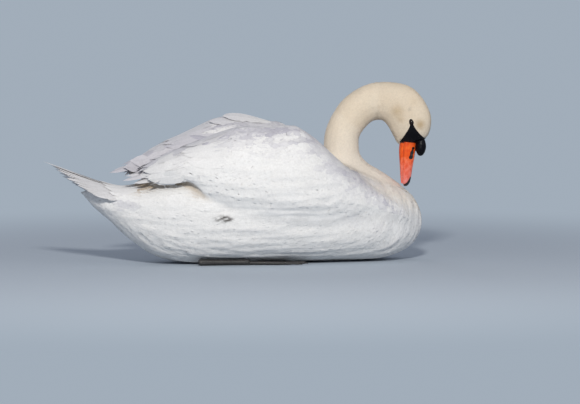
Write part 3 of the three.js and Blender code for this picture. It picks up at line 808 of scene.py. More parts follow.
head_out, head_up = skin_head[:, 0], skin_head[:, 1]
bare = bareness(head_out, head_up) > 0.0008 + 0.0014 * ramp(-0.022, -0.008, head_out)
EYE_TILT = math.radians(20)
EYE_BARE = (0.0068, 0.0047)  # half the patch round the eye that bears no feathers
eye_out, eye_up, _ = on_head(EYE_CENTRES["eye_right"]) + (EYE_OUT, EYE_UP, 0)
eye_long = math.cos(EYE_TILT) * (head_out - eye_out) + math.sin(EYE_TILT) * (head_up - eye_up)
eye_wide = math.cos(EYE_TILT) * (head_up - eye_up) - math.sin(EYE_TILT) * (head_out - eye_out)
at_eye = np.hypot(eye_long / EYE_BARE[0], eye_wide / EYE_BARE[1]) < 1
at_head = belongs("head", *EYES) * ~bare * ~at_eye * ((head_out < 0.0085) | (head_up < GAPE_UP))
growth = evened(skin_pairs, 1 - belongs("head", *EYES, *HORN), 40)  # larger away from the face
CREASE = 0.0014  # no feather is rooted where the skin is more hollow than this


def plumage_material(name, barbs_per_length, relief, softness):
    """White or cream vanes with fine barbs that leave the shaft at a slant. Softness is how
    far light falls on them as on the rounded form beneath, because feathers let it through."""
    material, tree, shader = painted(name, 0.72, Sheen_Weight=0.12)
    facing = wire(tree, "ShaderNodeNewGeometry").outputs["Normal"]
    form = attribute(tree, "form", "Vector")
    agree = vectors(tree, "DOT_PRODUCT", facing, form, output="Value")
    share = sums(tree, "MULTIPLY", sums(tree, "MULTIPLY", agree, 3.0, clamp=True), softness)
    rounded = vectors(tree, "NORMALIZE", between(tree, share, facing, form))
    place = object_place(tree)
    vane = wire(tree, "ShaderNodeSeparateXYZ", {0: attribute(tree, "vane", "Vector")}).outputs
    across = sums(tree, "ABSOLUTE", vane[0])
    slant = sums(tree, "SUBTRACT", vane[1], sums(tree, "MULTIPLY", across, 0.32))
    waver = sums(tree, "MULTIPLY", noise(tree, place, 90.0), 9.0)
    barb = sums(tree, "SINE", sums(tree, "ADD", sums(tree, "MULTIPLY", slant, barbs_per_length), waver))
    shaft = sums(tree, "SUBTRACT", 1.0, sums(tree, "MULTIPLY", across, 9.0), clamp=True)
    height = sums(tree, "ADD", sums(tree, "MULTIPLY", barb, 0.35), shaft)
    # Each vane is painted a little darker towards its root, as shade where the feather before it overlaps.
    colour = shaded(tree, plumage_colour(tree, place), ranged(tree, vane[1], 0.25, 0.75, 0.94, 1.0))
    feed(tree, shader, Base_Color=colour, Normal=raised(tree, height, 0.35, relief, Normal=rounded))
    return material


face_finish = plumage_material("swan face feathers", 40.0, 0.0001, 0.45)
body_finish = plumage_material("swan body feathers", 300.0, 0.0003, 0.62)
at_neck = belongs(*NECK) * (hollow < CREASE)
grow_coat("head", at_head, 0.8 + 0.5 * growth, FACE_KIND, 0.16, 1, face_finish)
grow_coat("neck", at_neck, 0.6 + 0.4 * growth, NECK_KIND, 0.16, 2, face_finish)

# ---------------------------------------------------------------- the great feathers
# Wing coverts, flight feathers and tail feathers are long stiff vanes on a shaft. Each is
# rooted in the skin behind the one before it, so that only its end and its edge show.
skin_faces = [tuple(p.vertices) for p in skin.data.polygons]
skin_finder = BVHTree.FromPolygons([Vector(p) for p in skin_co], skin_faces)
skin_uv = read(skin.data.uv_layers["OFBake"].data, "uv", 2)
skin_first_loop = [p.loop_start for p in skin.data.polygons]
ACROSS = np.array([-1.0, -0.55, -0.08, 0.0, 0.08, 0.55, 1.0])  # a vane's columns, edge to edge
VANE_THICK = 0.0004
SHAFT_RISE = 0.0005


def eased(path, rounds, directions=False):
    """A path, or a row of directions, with its bends rounded off and its ends kept."""
    path = np.array(path)
    for _ in range(rounds):
        inner = 0.5 * path[1:-1] + 0.25 * (path[:-2] + path[2:])
        path[1:-1] = unit(inner) if directions else inner
    return path


def skin_at(point, reach=1.0):
    """The nearest point of the skin and its face, or nothing beyond the reach."""
    foot, _, face, _ = skin_finder.find_nearest(Vector(point), reach)
    return (None if foot is None else np.array(foot)), face


class Plumes:
    """Great feathers, one after another, joined as one piece."""

    def __init__(self, seed):
        self.rng = np.random.default_rng(seed)
        self.points, self.faces, self.vanes, self.dusk, self.uv, self.form = [], [], [], [], [], []
        self.count = 0

    def clung(self, path, way, side, wide, reach):
        """How far each column rises or drops for the edges to lie on skin within reach."""
        rise = np.zeros((len(path), len(ACROSS)))
        for k, here in enumerate(path):
            base, _ = skin_at(here, 0.03)
            stand = (here - base) @ way[k] if base is not None else 0.0
            for c in (0, -1):
                spot = here + side[k] * ACROSS[c] * wide[k]
                foot, _ = skin_at(spot, reach)
                if foot is not None:
                    rise[k, c] = (foot - spot) @ way[k] + stand * 0.75
        for c, across in enumerate(ACROSS):
            rise[:, c] = rise[:, 0 if across < 0 else -1] * across**2
        return rise

    def add(self, path, way, half, dusk, tip, belly, root=0.4, camber=0.0, cling=0.0, notches=2):
        """path and way are points and upward directions from root to tip, half the widest
        half width, and dusk the painted shade at root and tip. The vane widens from the root's share
        of its width up to the belly, and a greater tip is blunter. Edges that are nearer the
        skin than cling lie on it, and notches are nicks in the edges."""
        path, way = np.array(path, float), unit(np.array(way, float))
        n, columns = len(path), len(ACROSS)
        along_vane = np.linspace(0, 1, n)
        travel = unit(np.gradient(path, axis=0))
        side = unit(np.cross(travel, way))
        way = unit(np.cross(side, travel))
        fall = np.clip((along_vane - belly) / (1 - belly), 0, 1)
        wide = (root + (1 - root) * ramp(0, belly, along_vane)) * (1 - fall**tip) ** 0.5
        wide = half * np.maximum(wide, 0.03)
        nick = np.ones((n, columns))
        for _ in range(notches):
            k = int(self.rng.integers(n // 3, n - 2))
            edge = 0 if self.rng.random() < 0.5 else columns - 1
            nick[k, edge] = self.rng.uniform(0.62, 0.86)
        rise = self.clung(path, way, side, wide, cling) if cling else np.zeros((n, columns))
        rise -= camber * ACROSS[None, :] ** 2 * (wide / half)[:, None]
        rise += SHAFT_RISE * (np.abs(ACROSS) < 0.01)[None, :] * (1 - 0.6 * along_vane)[:, None]
        reach = wide[:, None] * ACROSS[None, :] * nick
        slip = -0.35 * np.abs(reach) * ramp(0.5, 1.0, along_vane)[:, None] * (np.abs(ACROSS) > 0.3)
        top = (path[:, None] + side[:, None] * reach[..., None] + way[:, None] * rise[..., None]
               + travel[:, None] * slip[..., None])
        under = path[1:-1] - way[1:-1] * VANE_THICK
        self.points.append(np.concatenate([top.reshape(-1, 3), under]))
        numbers = (self.count + np.arange(n * columns + n - 2)).tolist()
        grid = [numbers[columns * r:columns * (r + 1)] for r in range(n)]
        self.faces.extend(vane_faces(grid, numbers[n * columns:]))
        u, v = skin_uv[skin_first_loop[skin_at(path[0])[1]]]
        local = [(a, t) for t in along_vane for a in ACROSS] + [(0.0, t) for t in along_vane[1:-1]]
        self.vanes.extend((a, t, t) for a, t in local)
        self.dusk.extend(dusk[0] + (dusk[1] - dusk[0]) * t for _, t in local)
        self.uv.extend((u + ROOT_PATCH[0] * a, v + ROOT_PATCH[1] * t) for a, t in local)
        self.form.append(np.concatenate([np.repeat(way, columns, axis=0), way[1:-1]]))
        self.count += len(local)

    def build(self, name, replaced):
        mesh = bpy.data.meshes.new(name)
        mesh.from_pydata(above_floor(np.concatenate(self.points)).tolist(), [], self.faces)
        mesh.shade_smooth()
        for mark, values in (
            ("vane", np.array(self.vanes)), ("dusk", np.array(self.dusk)),
            ("form", np.concatenate(self.form)), ("cream", np.zeros(self.count)),
        ):
            put_attribute(mesh, mark, values)
        corner = read(mesh.loops, "vertex_index", 1, np.int32)[:, 0]
        layer = mesh.uv_layers.new(name="OFBake")
        layer.data.foreach_set("uv", np.array(self.uv)[corner].astype(np.float32).ravel())
        form = bmesh.new()
        form.from_mesh(mesh)
        for edge in form.edges:
            edge.smooth = edge.calc_face_angle(0.0) < math.radians(80)
        form.to_mesh(mesh)
        form.free()
        mesh.materials.append(quill_finish)
        made = linked(name, mesh)
        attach(made, "root")
        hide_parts(replaced)


quill_finish = plumage_material("swan flight feathers", 420.0, 0.0004, 0.30)

# The wing is laid out round an axis inside it: a place is given by its x, and by an angle
# that is 0 straight out from the body, 90 on the ridge and 180 straight in to the back.
WING_END_X = {side: float(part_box("wing_" + side)[0].x) for side in ("left", "right")}
AXIS_X = (WING_END_X["right"], -0.1, 0.05, 0.3)
AXIS_Y = (0.044, 0.070, 0.082, 0.09)
AXIS_Z = (0.191, 0.188, 0.165, 0.105)
LEFT_LIFT = 0.012  # the left wing is carried a little higher behind
WING_EDGE = 0.009  # how far ahead of the skin's end the feathers leave it


def wing_place(side, x, angle):
    """The skin's surface at a place of the wing, and its outward direction."""
    sign = 1 if side == "left" else -1
    lift = LEFT_LIFT if side == "left" and x < -0.05 else 0.0
    axis = np.array([x, sign * np.interp(x, AXIS_X, AXIS_Y), np.interp(x, AXIS_X, AXIS_Z) + lift])
    way = Vector((0.0, sign * math.cos(math.radians(angle)), math.sin(math.radians(angle))))
    hit, _, face, _ = skin_finder.ray_cast(Vector(axis), way, 0.3)
    if hit is None:
        return axis + np.array(way) * 0.01, np.array(way)
    return np.array(hit), unit(skin_outward[list(skin_faces[face])].mean(0))


def wing_path(side, root, tip, low, high):
    """From root to tip over the wing, both (x, angle), rising from low to high above the
    skin, and straight on where the wing ends."""
    end = WING_SHORT + WING_SHORTENED * (WING_END_X[side] - WING_SHORT) + WING_EDGE
    path, way = [], []
    for t in np.linspace(0, 1, 14):
        x = root[0] + (tip[0] - root[0]) * t
        angle = root[1] + (tip[1] - root[1]) * t
        if x > end or len(path) < 2:
            spot, normal = wing_place(side, x, angle)
            path.append(spot + normal * (low + (high - low) * t))
            way.append(normal)
        else:
            path.append(path[-1] + (path[-1] - path[-2]) * 0.98)
            way.append(way[-1])
    return eased(path, 3), eased(way, 3, directions=True)


# Each tract of a wing: count, half width, painted shade, and pairs from the back's edge of the wing
# to its lower edge for x and angle of the roots, x and angle of the tips, and the tips' height.
SECONDARIES = (16, 0.019, 0.30, (-0.05, -0.12), (146, 12), (-0.266, -0.250), (138, -22), (0.0050, 0.0026))
END_COVERTS = (15, 0.018, 0.24, (-0.120, -0.150), (176, 10), (-0.262, -0.246), (168, -10), (0.0060, 0.0034))
INNER_COVERTS = (10, 0.020, 0.22, (0.00, -0.05), (140, 22), (-0.176, -0.170), (132, 18), (0.0048, 0.0024))
ROOT_DEPTH = -0.001
SINGLE_PLUMES = {
    # root, bend and tip in metres, half width, painted shade at root and tip
    "right": (
        ((-0.050, -0.050, 0.268), (-0.110, -0.058, 0.266), (-0.157, -0.066, 0.2755), 0.012, (1.1, 1.8)),
        ((-0.170, -0.062, 0.213), (-0.235, -0.056, 0.198), (-0.297, -0.052, 0.181), 0.0085, (0.2, 0.75)),
        ((-0.170, -0.052, 0.213), (-0.230, -0.046, 0.203), (-0.288, -0.043, 0.190), 0.0085, (0.2, 0.6)),
        ((-0.160, -0.074, 0.205), (-0.215, -0.070, 0.190), (-0.276, -0.064, 0.176), 0.0090, (0.1, 0.4)),
    ),
    "left": (
        ((0.045, 0.062, 0.296), (-0.020, 0.060, 0.312), (-0.062, 0.056, 0.3115), 0.017, (0.1, 0.5)),
        ((0.010, 0.050, 0.294), (-0.050, 0.046, 0.303), (-0.094, 0.044, 0.3005), 0.016, (0.2, 0.6)),
        ((-0.180, 0.040, 0.228), (-0.250, 0.034, 0.210), (-0.3125, 0.030, 0.193), 0.0085, (0.3, 0.9)),
        ((-0.180, 0.050, 0.226), (-0.240, 0.044, 0.212), (-0.300, 0.040, 0.199), 0.0085, (0.3, 0.8)),
    ),
}
# Painted shade: the left wing's feathers are painted darker all over, and each wing's upper feathers darker
# still, the right's most.
for side, seed, further, side_shade, upper_shade in (("right", 21, 0.0, 1.0, 0.34), ("left", 22, 0.014, 1.5, 0.10)):
    plumes = Plumes(seed)
    for count, half, dusky, *spans in (SECONDARIES, END_COVERTS, INNER_COVERTS):
        for k in range(count):
            share = 1 - k / (count - 1)
            jitter = plumes.rng.uniform(-1, 1, 5)
            root_x, root_angle, tip_x, tip_angle, high = (a + (b - a) * share for a, b in spans)
            root = (root_x + 0.006 * jitter[0], root_angle)
            tip = (tip_x + 0.010 * jitter[1] - further, tip_angle + 4.0 * jitter[2])
            path, way = wing_path(side, root, tip, ROOT_DEPTH, high + 0.0008 * jitter[4])
            painted_upper_shade = upper_shade * ramp(0.68, 0.48, share)
            vane_dusk = (side_shade * dusky * (1.2 - 1.1 * share) + painted_upper_shade,
                         side_shade * dusky * (2.0 - 1.8 * share) + painted_upper_shade)
            plumes.add(path, way, half * (1 + 0.12 * jitter[3]), cling=0.012, dusk=vane_dusk,
                       tip=1.9, belly=0.5)
    for root, bend, tip, half, dusky in SINGLE_PLUMES[side]:
        t = np.linspace(0, 1, 12)[:, None]
        path = (1 - t) ** 2 * np.array(root) + 2 * t * (1 - t) * np.array(bend) + t**2 * np.array(tip)
        plumes.add(path, [(0.1, -0.6, 1.0)] * 12, half, camber=0.002, dusk=dusky, tip=1.8, belly=0.55)
    plumes.build("feathers_wing_" + side, "wingtip_" + side)

# Over them lie the small soft feathers of the body, and the wing's coverts, which grow
# larger towards its end.
at_trunk = belongs("trunk")
smooth = hollow < CREASE
low_down = ramp(0.215, 0.200, height)
covert_growth = 0.9 + 0.9 * ramp(0.10, -0.12, along)
covert_growth *= 1 - 0.45 * low_down * ramp(-0.05, -0.10, along)
rear_end = ramp(-0.175 - 0.025 * low_down, -0.135 - 0.035 * low_down, along)
over_gap = (Surface("trunk").gaps(skin_co) < 0.024) * (along < -0.105)
upper_side = skin_outward[:, 2] > -0.25 + 0.25 * ramp(-0.06, -0.12, along)
covert_bed = smooth * ~over_gap * upper_side * rear_end / covert_growth**0.5
under_edge = (over_rump < 0.011) * (along < -0.105) * (along > -0.27)
near_crease = 1 - 0.45 * ramp(0.0003, CREASE, hollow)
for seed, (part, bed, growth, kind) in enumerate((
    ("breast", at_trunk * (along > 0.13) * smooth, near_crease, BODY_KIND),
    ("belly", at_trunk * (along > -0.05) * (along <= 0.13) * smooth, near_crease, BODY_KIND),
    ("flanks", at_trunk * (along > -0.20) * (along <= -0.05) * smooth * ~under_edge, near_crease, BODY_KIND),
    ("rear", at_trunk * (along > -0.352) * (along <= -0.20) * (hollow < 3 * CREASE) * ~under_edge,
     near_crease, BODY_KIND),
    ("wing_left", belongs("wing_left") * covert_bed, covert_growth, COVERT_KIND),
    ("wing_right", belongs("wing_right") * covert_bed, covert_growth, COVERT_KIND),
), 3):
    grow_coat(part, bed, growth, kind, 0.20, seed, body_finish)

# ---------------------------------------------------------------- the tail
# Stiff rectrices fan out from the rump in a roof, the middle one on top and the outer
# ones each a little lower and shorter, and they rise to a point behind.
QUILL_PAIRS, UPPER_PAIRS = 10, 9  # besides a single one in the middle
UNDER_PAIRS = 12
TAIL_SLOPE = -0.3  # how the tail's top runs on, down into the rump
TAIL_ROOT_X = -0.272
TAIL_FALL = 0.09  # how much the outer feathers lie lower, so that the fan is a roof
tail_low, tail_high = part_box("tail")
tail_front = tail_high.x - 0.003
tail_finder = Surface("tail").tree


def tail_top(x, y):
    """Height of the tail's upper side, carried on beyond the solid's front and sides."""
    inside_x = min(max(x, tail_low.x + 0.004), tail_front)
    for share in (1.0, 0.9, 0.8, 0.7, 0.55, 0.4, 0.2, 0.0):
        start = Vector((inside_x, y * share, tail_high.z + 0.05))
        hit = tail_finder.ray_cast(start, Vector((0, 0, -1)))[0]
        if hit is not None:
            return hit.z - 0.3 * abs(y) * (1 - share) + TAIL_SLOPE * max(x - tail_front, 0)


def rump_top(x, y):
    """Height of the rump's upper side, found from inside it."""
    hit = skin_finder.ray_cast(Vector((x, y, 0.12)), Vector((0, 0, 1)))[0]
    return hit.z if hit is not None else 0.0


tail = Plumes(31)


def tail_plume(root, end, drop, half, roll, bow, **looks):
    """One stiff feather from root to end, both (x, y), at a depth under the tail's top."""
    path = []
    for t in np.linspace(0, 1, 16):
        x = root[0] + (end[0] - root[0]) * t
        y = root[1] + (end[1] - root[1]) * t**1.2
        path.append((x, y, tail_top(x, y) - drop - TAIL_FALL * abs(y) * t - bow * math.sin(math.pi * t)))
    way = [(0.25, math.sin(roll), math.cos(roll))] * len(path)
    tail.add(eased(path, 4), way, half, camber=0.0020, root=0.5, belly=0.6, **looks)


def fan(pairs):
    """From the outermost pair to the single middle one: number from the middle, side, and
    three uneven values."""
    for k in range(pairs, -1, -1):
        for sign in (1, -1) if k else (0,):
            yield k, sign, tail.rng.uniform(-1, 1, 3)


# The tail's feathers are painted in light lavender shade, deeper towards their tips.
for k, sign, uneven in fan(QUILL_PAIRS):
    away = k / QUILL_PAIRS
    tip_x = tail_low.x + (0.010 + 0.0095 * k + 0.003 * uneven[0]) * (k > 0)
    tip_y = sign * (0.058 * math.sin(away * math.pi / 2) + 0.0015 * uneven[1])
    tail_plume((TAIL_ROOT_X, sign * 0.030 * away), (tip_x, tip_y), 0.0010 + 0.0004 * k,
               0.0200 - 0.003 * away, sign * (0.14 + 0.46 * away), 0.0, dusk=(0.16, 0.30), tip=2.2,
               notches=0 if k < 3 else 2)
for k in range(UNDER_PAIRS):
    for sign in (1, -1):
        away = (k + 0.5) / UNDER_PAIRS
        uneven = tail.rng.uniform(-1, 1, 3)
        end = (-0.392 + 0.050 * away + 0.008 * uneven[0], sign * 0.044 * away)
        tail_plume((-0.300, sign * 0.036 * away), end, 0.013 + 0.004 * uneven[1], 0.013,
                   sign * 0.4 * away, 0.006, dusk=(0.05, 0.18), tip=1.5)
# Soft coverts hide the quills' roots above, from the rump's feathers out over the tail.
for k, sign, uneven in fan(UPPER_PAIRS):
    away = k / UPPER_PAIRS
    path = []
    for t in np.linspace(0, 1, 12):
        x = -0.256 - (0.074 - 0.014 * away + 0.014 * uneven[0]) * t
        y = sign * (0.056 * away + 0.002 * uneven[1]) * (1 - 0.10 * t)
        under = max(rump_top(x, y), tail_top(x, y) - TAIL_FALL * abs(y) * t)
        path.append((x, y, under - 0.0012 + 0.0022 * min(1.0, 2.5 * t)))
    way = [(0.2, math.sin(sign * 0.8 * away), math.cos(0.8 * away))] * len(path)
    tail.add(eased(path, 4), way, 0.0125, camber=0.003, dusk=(0.08, 0.16), tip=1.5, root=0.5, belly=0.5)
tail.build("feathers_tail", "tail")

# ---------------------------------------------------------------- bare face and knob
# Black bare skin covers the lores from the eye to the bill's root, rings the root, and
# swells over it into the cock's fleshy knob. It is a thin hide stretched over the skull.
CULMEN_UP = 0.0122  # the ridge of the bill at its root, where the knob's black begins
FACE_NODES = ("head", "bill_upper", "bill_lower", "bill_knob")
HIDE_THICK = 0.0016
BARE_BLACK = ((0.0012, 0.0012, 0.0022, 1), (0.0045, 0.004, 0.007, 1))


def soften(mesh, co, rounds):
    """Put a mesh's points at these places, with small roughness taken off and no shrinking."""
    put_places(mesh, evened(edge_pairs(mesh), co, rounds, 0.5, 0.5))


def fine_form(name, nodes, swell, voxel, rounds):
    """A smooth closed copy of some solids, joined where they touch."""
    made = remesh(joined_copy(name, nodes, swell), voxel)
    soften(made.data, places(made.data), rounds)
    return made


def trim(made, depth):
    """Cut a mesh along the line where depth is 0, and keep the side where it is more."""
    form = bmesh.new()
    form.from_mesh(made.data)
    layer = form.verts.layers.float.new("depth")
    for v, value in zip(form.verts, depth):
        v[layer] = value
    outside = [f for f in form.faces if all(v[layer] <= 0 for v in f.verts)]
    bmesh.ops.delete(form, geom=outside, context="FACES")
    crossing = [e for e in form.edges if e.verts[0][layer] * e.verts[1][layer] < 0]
    rim = []
    for edge in crossing:
        first, second = edge.verts
        _, v = bmesh.utils.edge_split(edge, first, first[layer] / (first[layer] - second[layer]))
        v[layer] = 0.0
        rim.append(v)
    bmesh.ops.connect_verts(form, verts=rim)
    bmesh.ops.delete(form, geom=[v for v in form.verts if v[layer] < 0], context="VERTS")
    form.to_mesh(made.data)
    form.free()


lores = fine_form("lore_skin", FACE_NODES, 0.0003, 0.0011, 10)
lore_co = places(lores.data)
on_knob = Surface(*FACE_NODES).owners(lore_co) == FACE_NODES.index("bill_knob")
lore_out, lore_up, lore_left = on_head(lore_co).T
at_culmen = ramp(CULMEN_UP - 0.0014, CULMEN_UP + 0.0006, lore_up)
band = BAND_OUT + 0.0045 * ramp(-0.0165, GAPE_UP, lore_up) + 0.03 * at_culmen
lore_depth = np.where(on_knob, 0.002, np.minimum(bareness(lore_out, lore_up), band - lore_out))
wrinkle = np.sin(lore_out * 1900 + 3 * np.sin(lore_left * 420)) * np.sin(lore_up * 1500)
knob_share = evened(edge_pairs(lores.data), on_knob.astype(float), 4)
lore_co += (0.0001 * wrinkle * on_knob - 0.0006 * (1 - knob_share))[:, None] * outward(lores.data)
put_places(lores.data, lore_co)
trim(lores, lore_depth)
hide = lores.modifiers.new("thickness", "SOLIDIFY")
hide.thickness = HIDE_THICK
hide.offset = -1
bake_modifiers(lores)

bare_finish, tree, shader = painted("black bare skin", 0.4, Specular_IOR_Level=0.13)
place = object_place(tree)
folds = noise(tree, place, 160.0, 4.0)
pores = sums(tree, "ADD", cells(tree, place, 1500.0), folds)
feed(
    tree, shader, Base_Color=mixed(tree, folds, *BARE_BLACK),
    Roughness=ranged(tree, folds, 0.3, 0.7, 0.28, 0.40), Normal=raised(tree, pores, 0.35, 0.0003),
)
dressed(lores, bare_finish, "bill_black", ("bill_knob",))

# ---------------------------------------------------------------- the bill
# Horn over bone: an orange upper bill that turns pink towards the end, with a black nail,
# a black hollow round each nostril, and an edge that shuts over the lower bill.
NOSTRIL = (np.array([0.0215, 0.0088]), np.array([0.0435, 0.0058]))  # the black from and to: (out, up)
NOSTRIL_HALF = 0.0031
SLIT = (np.array([0.0275, 0.0072]), np.array([0.0365, 0.0062]))
SLIT_HALF = 0.0013
NAIL_LENGTH, NAIL_HALF = 0.0215, 0.0090
EDGE_DROP = 0.0028  # how far the upper bill's edge hangs over the lower bill
ORANGE = ((0.78, 0.075, 0.003, 1), (0.93, 0.145, 0.010, 1))
PINK = ((0.84, 0.18, 0.13, 1), (0.90, 0.28, 0.25, 1))
HORN_EDGE, HORN_BLACK = (0.40, 0.035, 0.006, 1), (0.009, 0.008, 0.010, 1)


def along_slot(out, up, ends, half):
    """1 on the middle line of a long rounded patch, 0 on its rim and less beyond."""
    start, end = ends
    line = end - start
    share = np.clip(((out - start[0]) * line[0] + (up - start[1]) * line[1]) / (line @ line), 0, 1)
    return 1 - np.hypot(out - start[0] - share * line[0], up - start[1] - share * line[1]) / half


def valley(values, middle, width):
    """1 along a groove's middle and near 0 a few widths off."""
    return np.exp(-(((values - middle) / width) ** 2))


bill = fine_form("bill_horn", ("bill_upper", "bill_nail"), 0.0003, 0.0007, 10)
bill_co = places(bill.data)
out, up, left = on_head(bill_co).T
bill_length = out.max()
on_side = ramp(0.002, 0.005, np.abs(left))
waver = 0.75 + 0.4 * ramp(0.026, 0.041, out) + 0.16 * np.sin(620 * out + 0.9) + 0.08 * np.sin(1700 * up)
patch = along_slot(out, up, NOSTRIL, NOSTRIL_HALF * waver)
slit = along_slot(out, up, SLIT, SLIT_HALF)
nail = out - (bill_length - NAIL_LENGTH + 0.015 * (np.abs(left) / NAIL_HALF) ** 4)
nail = np.where(up > -0.004, nail, -0.01)
groove = 0.00035 * valley(nail, 0.0, 0.0009)
nostril_hollow = 0.0006 * ramp(-0.2, 0.9, patch) + 0.0012 * ramp(-0.3, 0.9, slit)
side_valley = 0.0005 * valley(up, 0.0015, 0.0022) * ramp(0.036, 0.055, out) * ramp(0.092, 0.075, out)
bill_co -= (groove + on_side * (nostril_hollow + side_valley))[:, None] * outward(bill.data)
lip = ramp(-0.0045, -0.0095, up) * ramp(0.006, 0.012, np.abs(left))
lip *= ramp(bill_length - 0.002, bill_length - 0.02, out)
bill_co += lip[:, None] * (0.0004 * np.sign(left)[:, None] * head_left - EDGE_DROP * bill_up)
soften(bill.data, bill_co, 2)
tip_rim = out - (bill_length - 0.0035 + 0.002 * ramp(0.0, 0.006, np.abs(left)))
horn_black = np.maximum.reduce([
    ramp(-0.0005, 0.0005, nail), ramp(-0.0005, 0.0006, tip_rim), on_side * ramp(-0.06, 0.12, patch),
])
lower_bill = fine_form("bill_lower_horn", ("bill_lower",), 0.0001, 0.0008, 8)
lower_out, lower_up, _ = on_head(places(lower_bill.data)).T
for made, black, along_bill, edge in (
    (bill, horn_black, out / bill_length, np.maximum(lip, 0.6 * ramp(0.02, 0.008, out))),
    (lower_bill, ramp(0.0140, 0.0120, lower_out), lower_out / bill_length,
     0.6 * ramp(-0.012, -0.020, lower_up)),
):
    put_attribute(made.data, "black", black)
    put_attribute(made.data, "along", along_bill)
    put_attribute(made.data, "edge", edge)

horn_finish, tree, shader = painted(
    "orange horn", 0.32, Coat_Weight=0.28, Coat_Roughness=0.16, Specular_IOR_Level=0.35,
)
place = object_place(tree)
cloud = noise(tree, place, 130.0, 5.0)
blotch = ranged(tree, cloud, 0.35, 0.65)
pinken = ranged(tree, sums(tree, "MULTIPLY_ADD", blotch, 0.10, attribute(tree, "along")), 0.42, 0.95)
horn = mixed(tree, pinken, mixed(tree, blotch, *ORANGE), mixed(tree, blotch, *PINK))
horn = mixed(tree, sums(tree, "MULTIPLY", attribute(tree, "edge"), 0.55), horn, HORN_EDGE)
horn = mixed(tree, attribute(tree, "black"), horn, HORN_BLACK)
feed(
    tree, shader, Base_Color=horn, Roughness=ranged(tree, cloud, 0.3, 0.7, 0.28, 0.46),
    Normal=raised(tree, noise(tree, place, 900.0, 3.0), 0.3, 0.0002),
)
dressed(bill, horn_finish, "bill_orange", ("bill_upper", "bill_nail"))
dressed(lower_bill, horn_finish, "bill_orange", ("bill_lower",))

# ---------------------------------------------------------------- eyes and lids
# Glass eyes, as a preparator sets them: a dark brown iris round a black pupil, held by lids
# of black bare skin that are drawn to a corner in front and behind.
OPENING = np.array([0.0041, 0.0031])  # half the opening between the lids, along it and across it
LID_OUTER = np.array([0.0072, 0.0052])
LID_SECTION = (  # share of the way from the opening outwards, and height over the ball or face
    (0, 0.0001), (0.04, 0.0008), (0.2, 0.0011), (0.45, 0.0010), (0.7, 0.0008), (0.9, 0.0003),
    (1, -0.0006), (0.8, -0.0012), (0.5, -0.0012), (0.1, -0.0009),
)
LID_SPOKES = 64
EYE_RINGS, EYE_SPOKES = 22, 40
CORNEA = 0.04  # how much the ball stands out in front
PUPIL, EYE_RIM = (0.002, 0.002, 0.002, 1), (0.006, 0.004, 0.004, 1)
IRIS = ((0.014, 0.005, 0.002, 1), (0.036, 0.014, 0.006, 1))
PUPIL_EDGE, IRIS_EDGE = (0.34, 0.40), (0.66, 0.84)  # in radians off the gaze


def eye_way(axes, polar, turn):
    """The direction from the eye's middle at an angle off its gaze and a turn round it."""
    look, long_way, cross = axes
    return math.cos(polar) * look + math.sin(polar) * (math.cos(turn) * long_way + math.sin(turn) * cross)


def almond(half, turn):
    """How far from the eye's middle an almond-shaped edge runs, at a turn round the gaze."""
    oval = 1 / math.hypot(math.cos(turn) / half[0], math.sin(turn) / half[1])
    return oval * (1 + 0.10 * abs(math.cos(turn)) ** 10)


def ringed(form, rows):
    """Faces between closed rows of points, each joined to the next."""
    for near, far in zip(rows, rows[1:]):
        for i in range(len(near)):
            k = (i + 1) % len(near)
            form.faces.new((near[i], near[k], far[k], far[i]))


def finished(form, name):
    """A mesh object from a form, with its poles closed and its faces outwards."""
    bmesh.ops.remove_doubles(form, verts=form.verts, dist=1e-7)
    bmesh.ops.recalc_face_normals(form, faces=form.faces)
    return linked(name, mesh_of(form, name))


lid_form, eye_form = bmesh.new(), bmesh.new()
gaze_layer = eye_form.verts.layers.float.new("gaze")
for eye_name, (middle, look) in eye_frames.items():
    sign = 1 if eye_name == "eye_left" else -1
    long_way = math.cos(EYE_TILT) * bill_out + math.sin(EYE_TILT) * bill_up
    long_way = unit(long_way - (long_way @ look) * look)
    axes = (look, long_way, sign * np.cross(look, long_way))
    rings = []
    for i in range(EYE_RINGS + 1):
        polar = math.pi * i / EYE_RINGS
        radius = EYE_RADIUS * (1 + CORNEA * math.exp(-((polar / 0.6) ** 2)))
        ring = []
        for j in range(EYE_SPOKES):
            v = eye_form.verts.new(middle + radius * eye_way(axes, polar, math.tau * j / EYE_SPOKES))
            v[gaze_layer] = polar
            ring.append(v)
        rings.append(ring)
    ringed(eye_form, rings)
    bands = []
    for j in range(LID_SPOKES):
        turn = math.tau * j / LID_SPOKES
        sideways = math.cos(turn) * long_way + math.sin(turn) * axes[2]
        band = []
        for share, lid_height in LID_SECTION:
            spread = almond(OPENING + (LID_OUTER - OPENING) * share, turn)
            on_ball = middle + spread * sideways + math.sqrt(max(EYE_RADIUS**2 - spread**2, 1e-6)) * look
            above = middle + spread * sideways + 0.02 * look
            on_face = np.array(skin_finder.ray_cast(Vector(above), Vector(-look))[0])
            step = max((on_face - on_ball) @ look, 0.0)
            seat = on_ball + step * ramp(0.0, 0.8, share) * look
            band.append(lid_form.verts.new(seat + lid_height * look))
        bands.append(band)
    ringed(lid_form, bands + bands[:1])

eye_finish, tree, shader = painted(
    "glass eye", 0.12, Coat_Weight=0.5, Coat_Roughness=0.02, Specular_IOR_Level=0.2,
)
gaze = attribute(tree, "gaze")
iris = mixed(tree, noise(tree, object_place(tree), 900.0), *IRIS)
iris = mixed(tree, ranged(tree, gaze, *PUPIL_EDGE), PUPIL, iris)
feed(tree, shader, Base_Color=mixed(tree, ranged(tree, gaze, *IRIS_EDGE), iris, EYE_RIM))
dressed(finished(eye_form, "eyes"), eye_finish, "eye_dark", EYES)
dressed(finished(lid_form, "eyelids"), bare_finish, "bill_black")

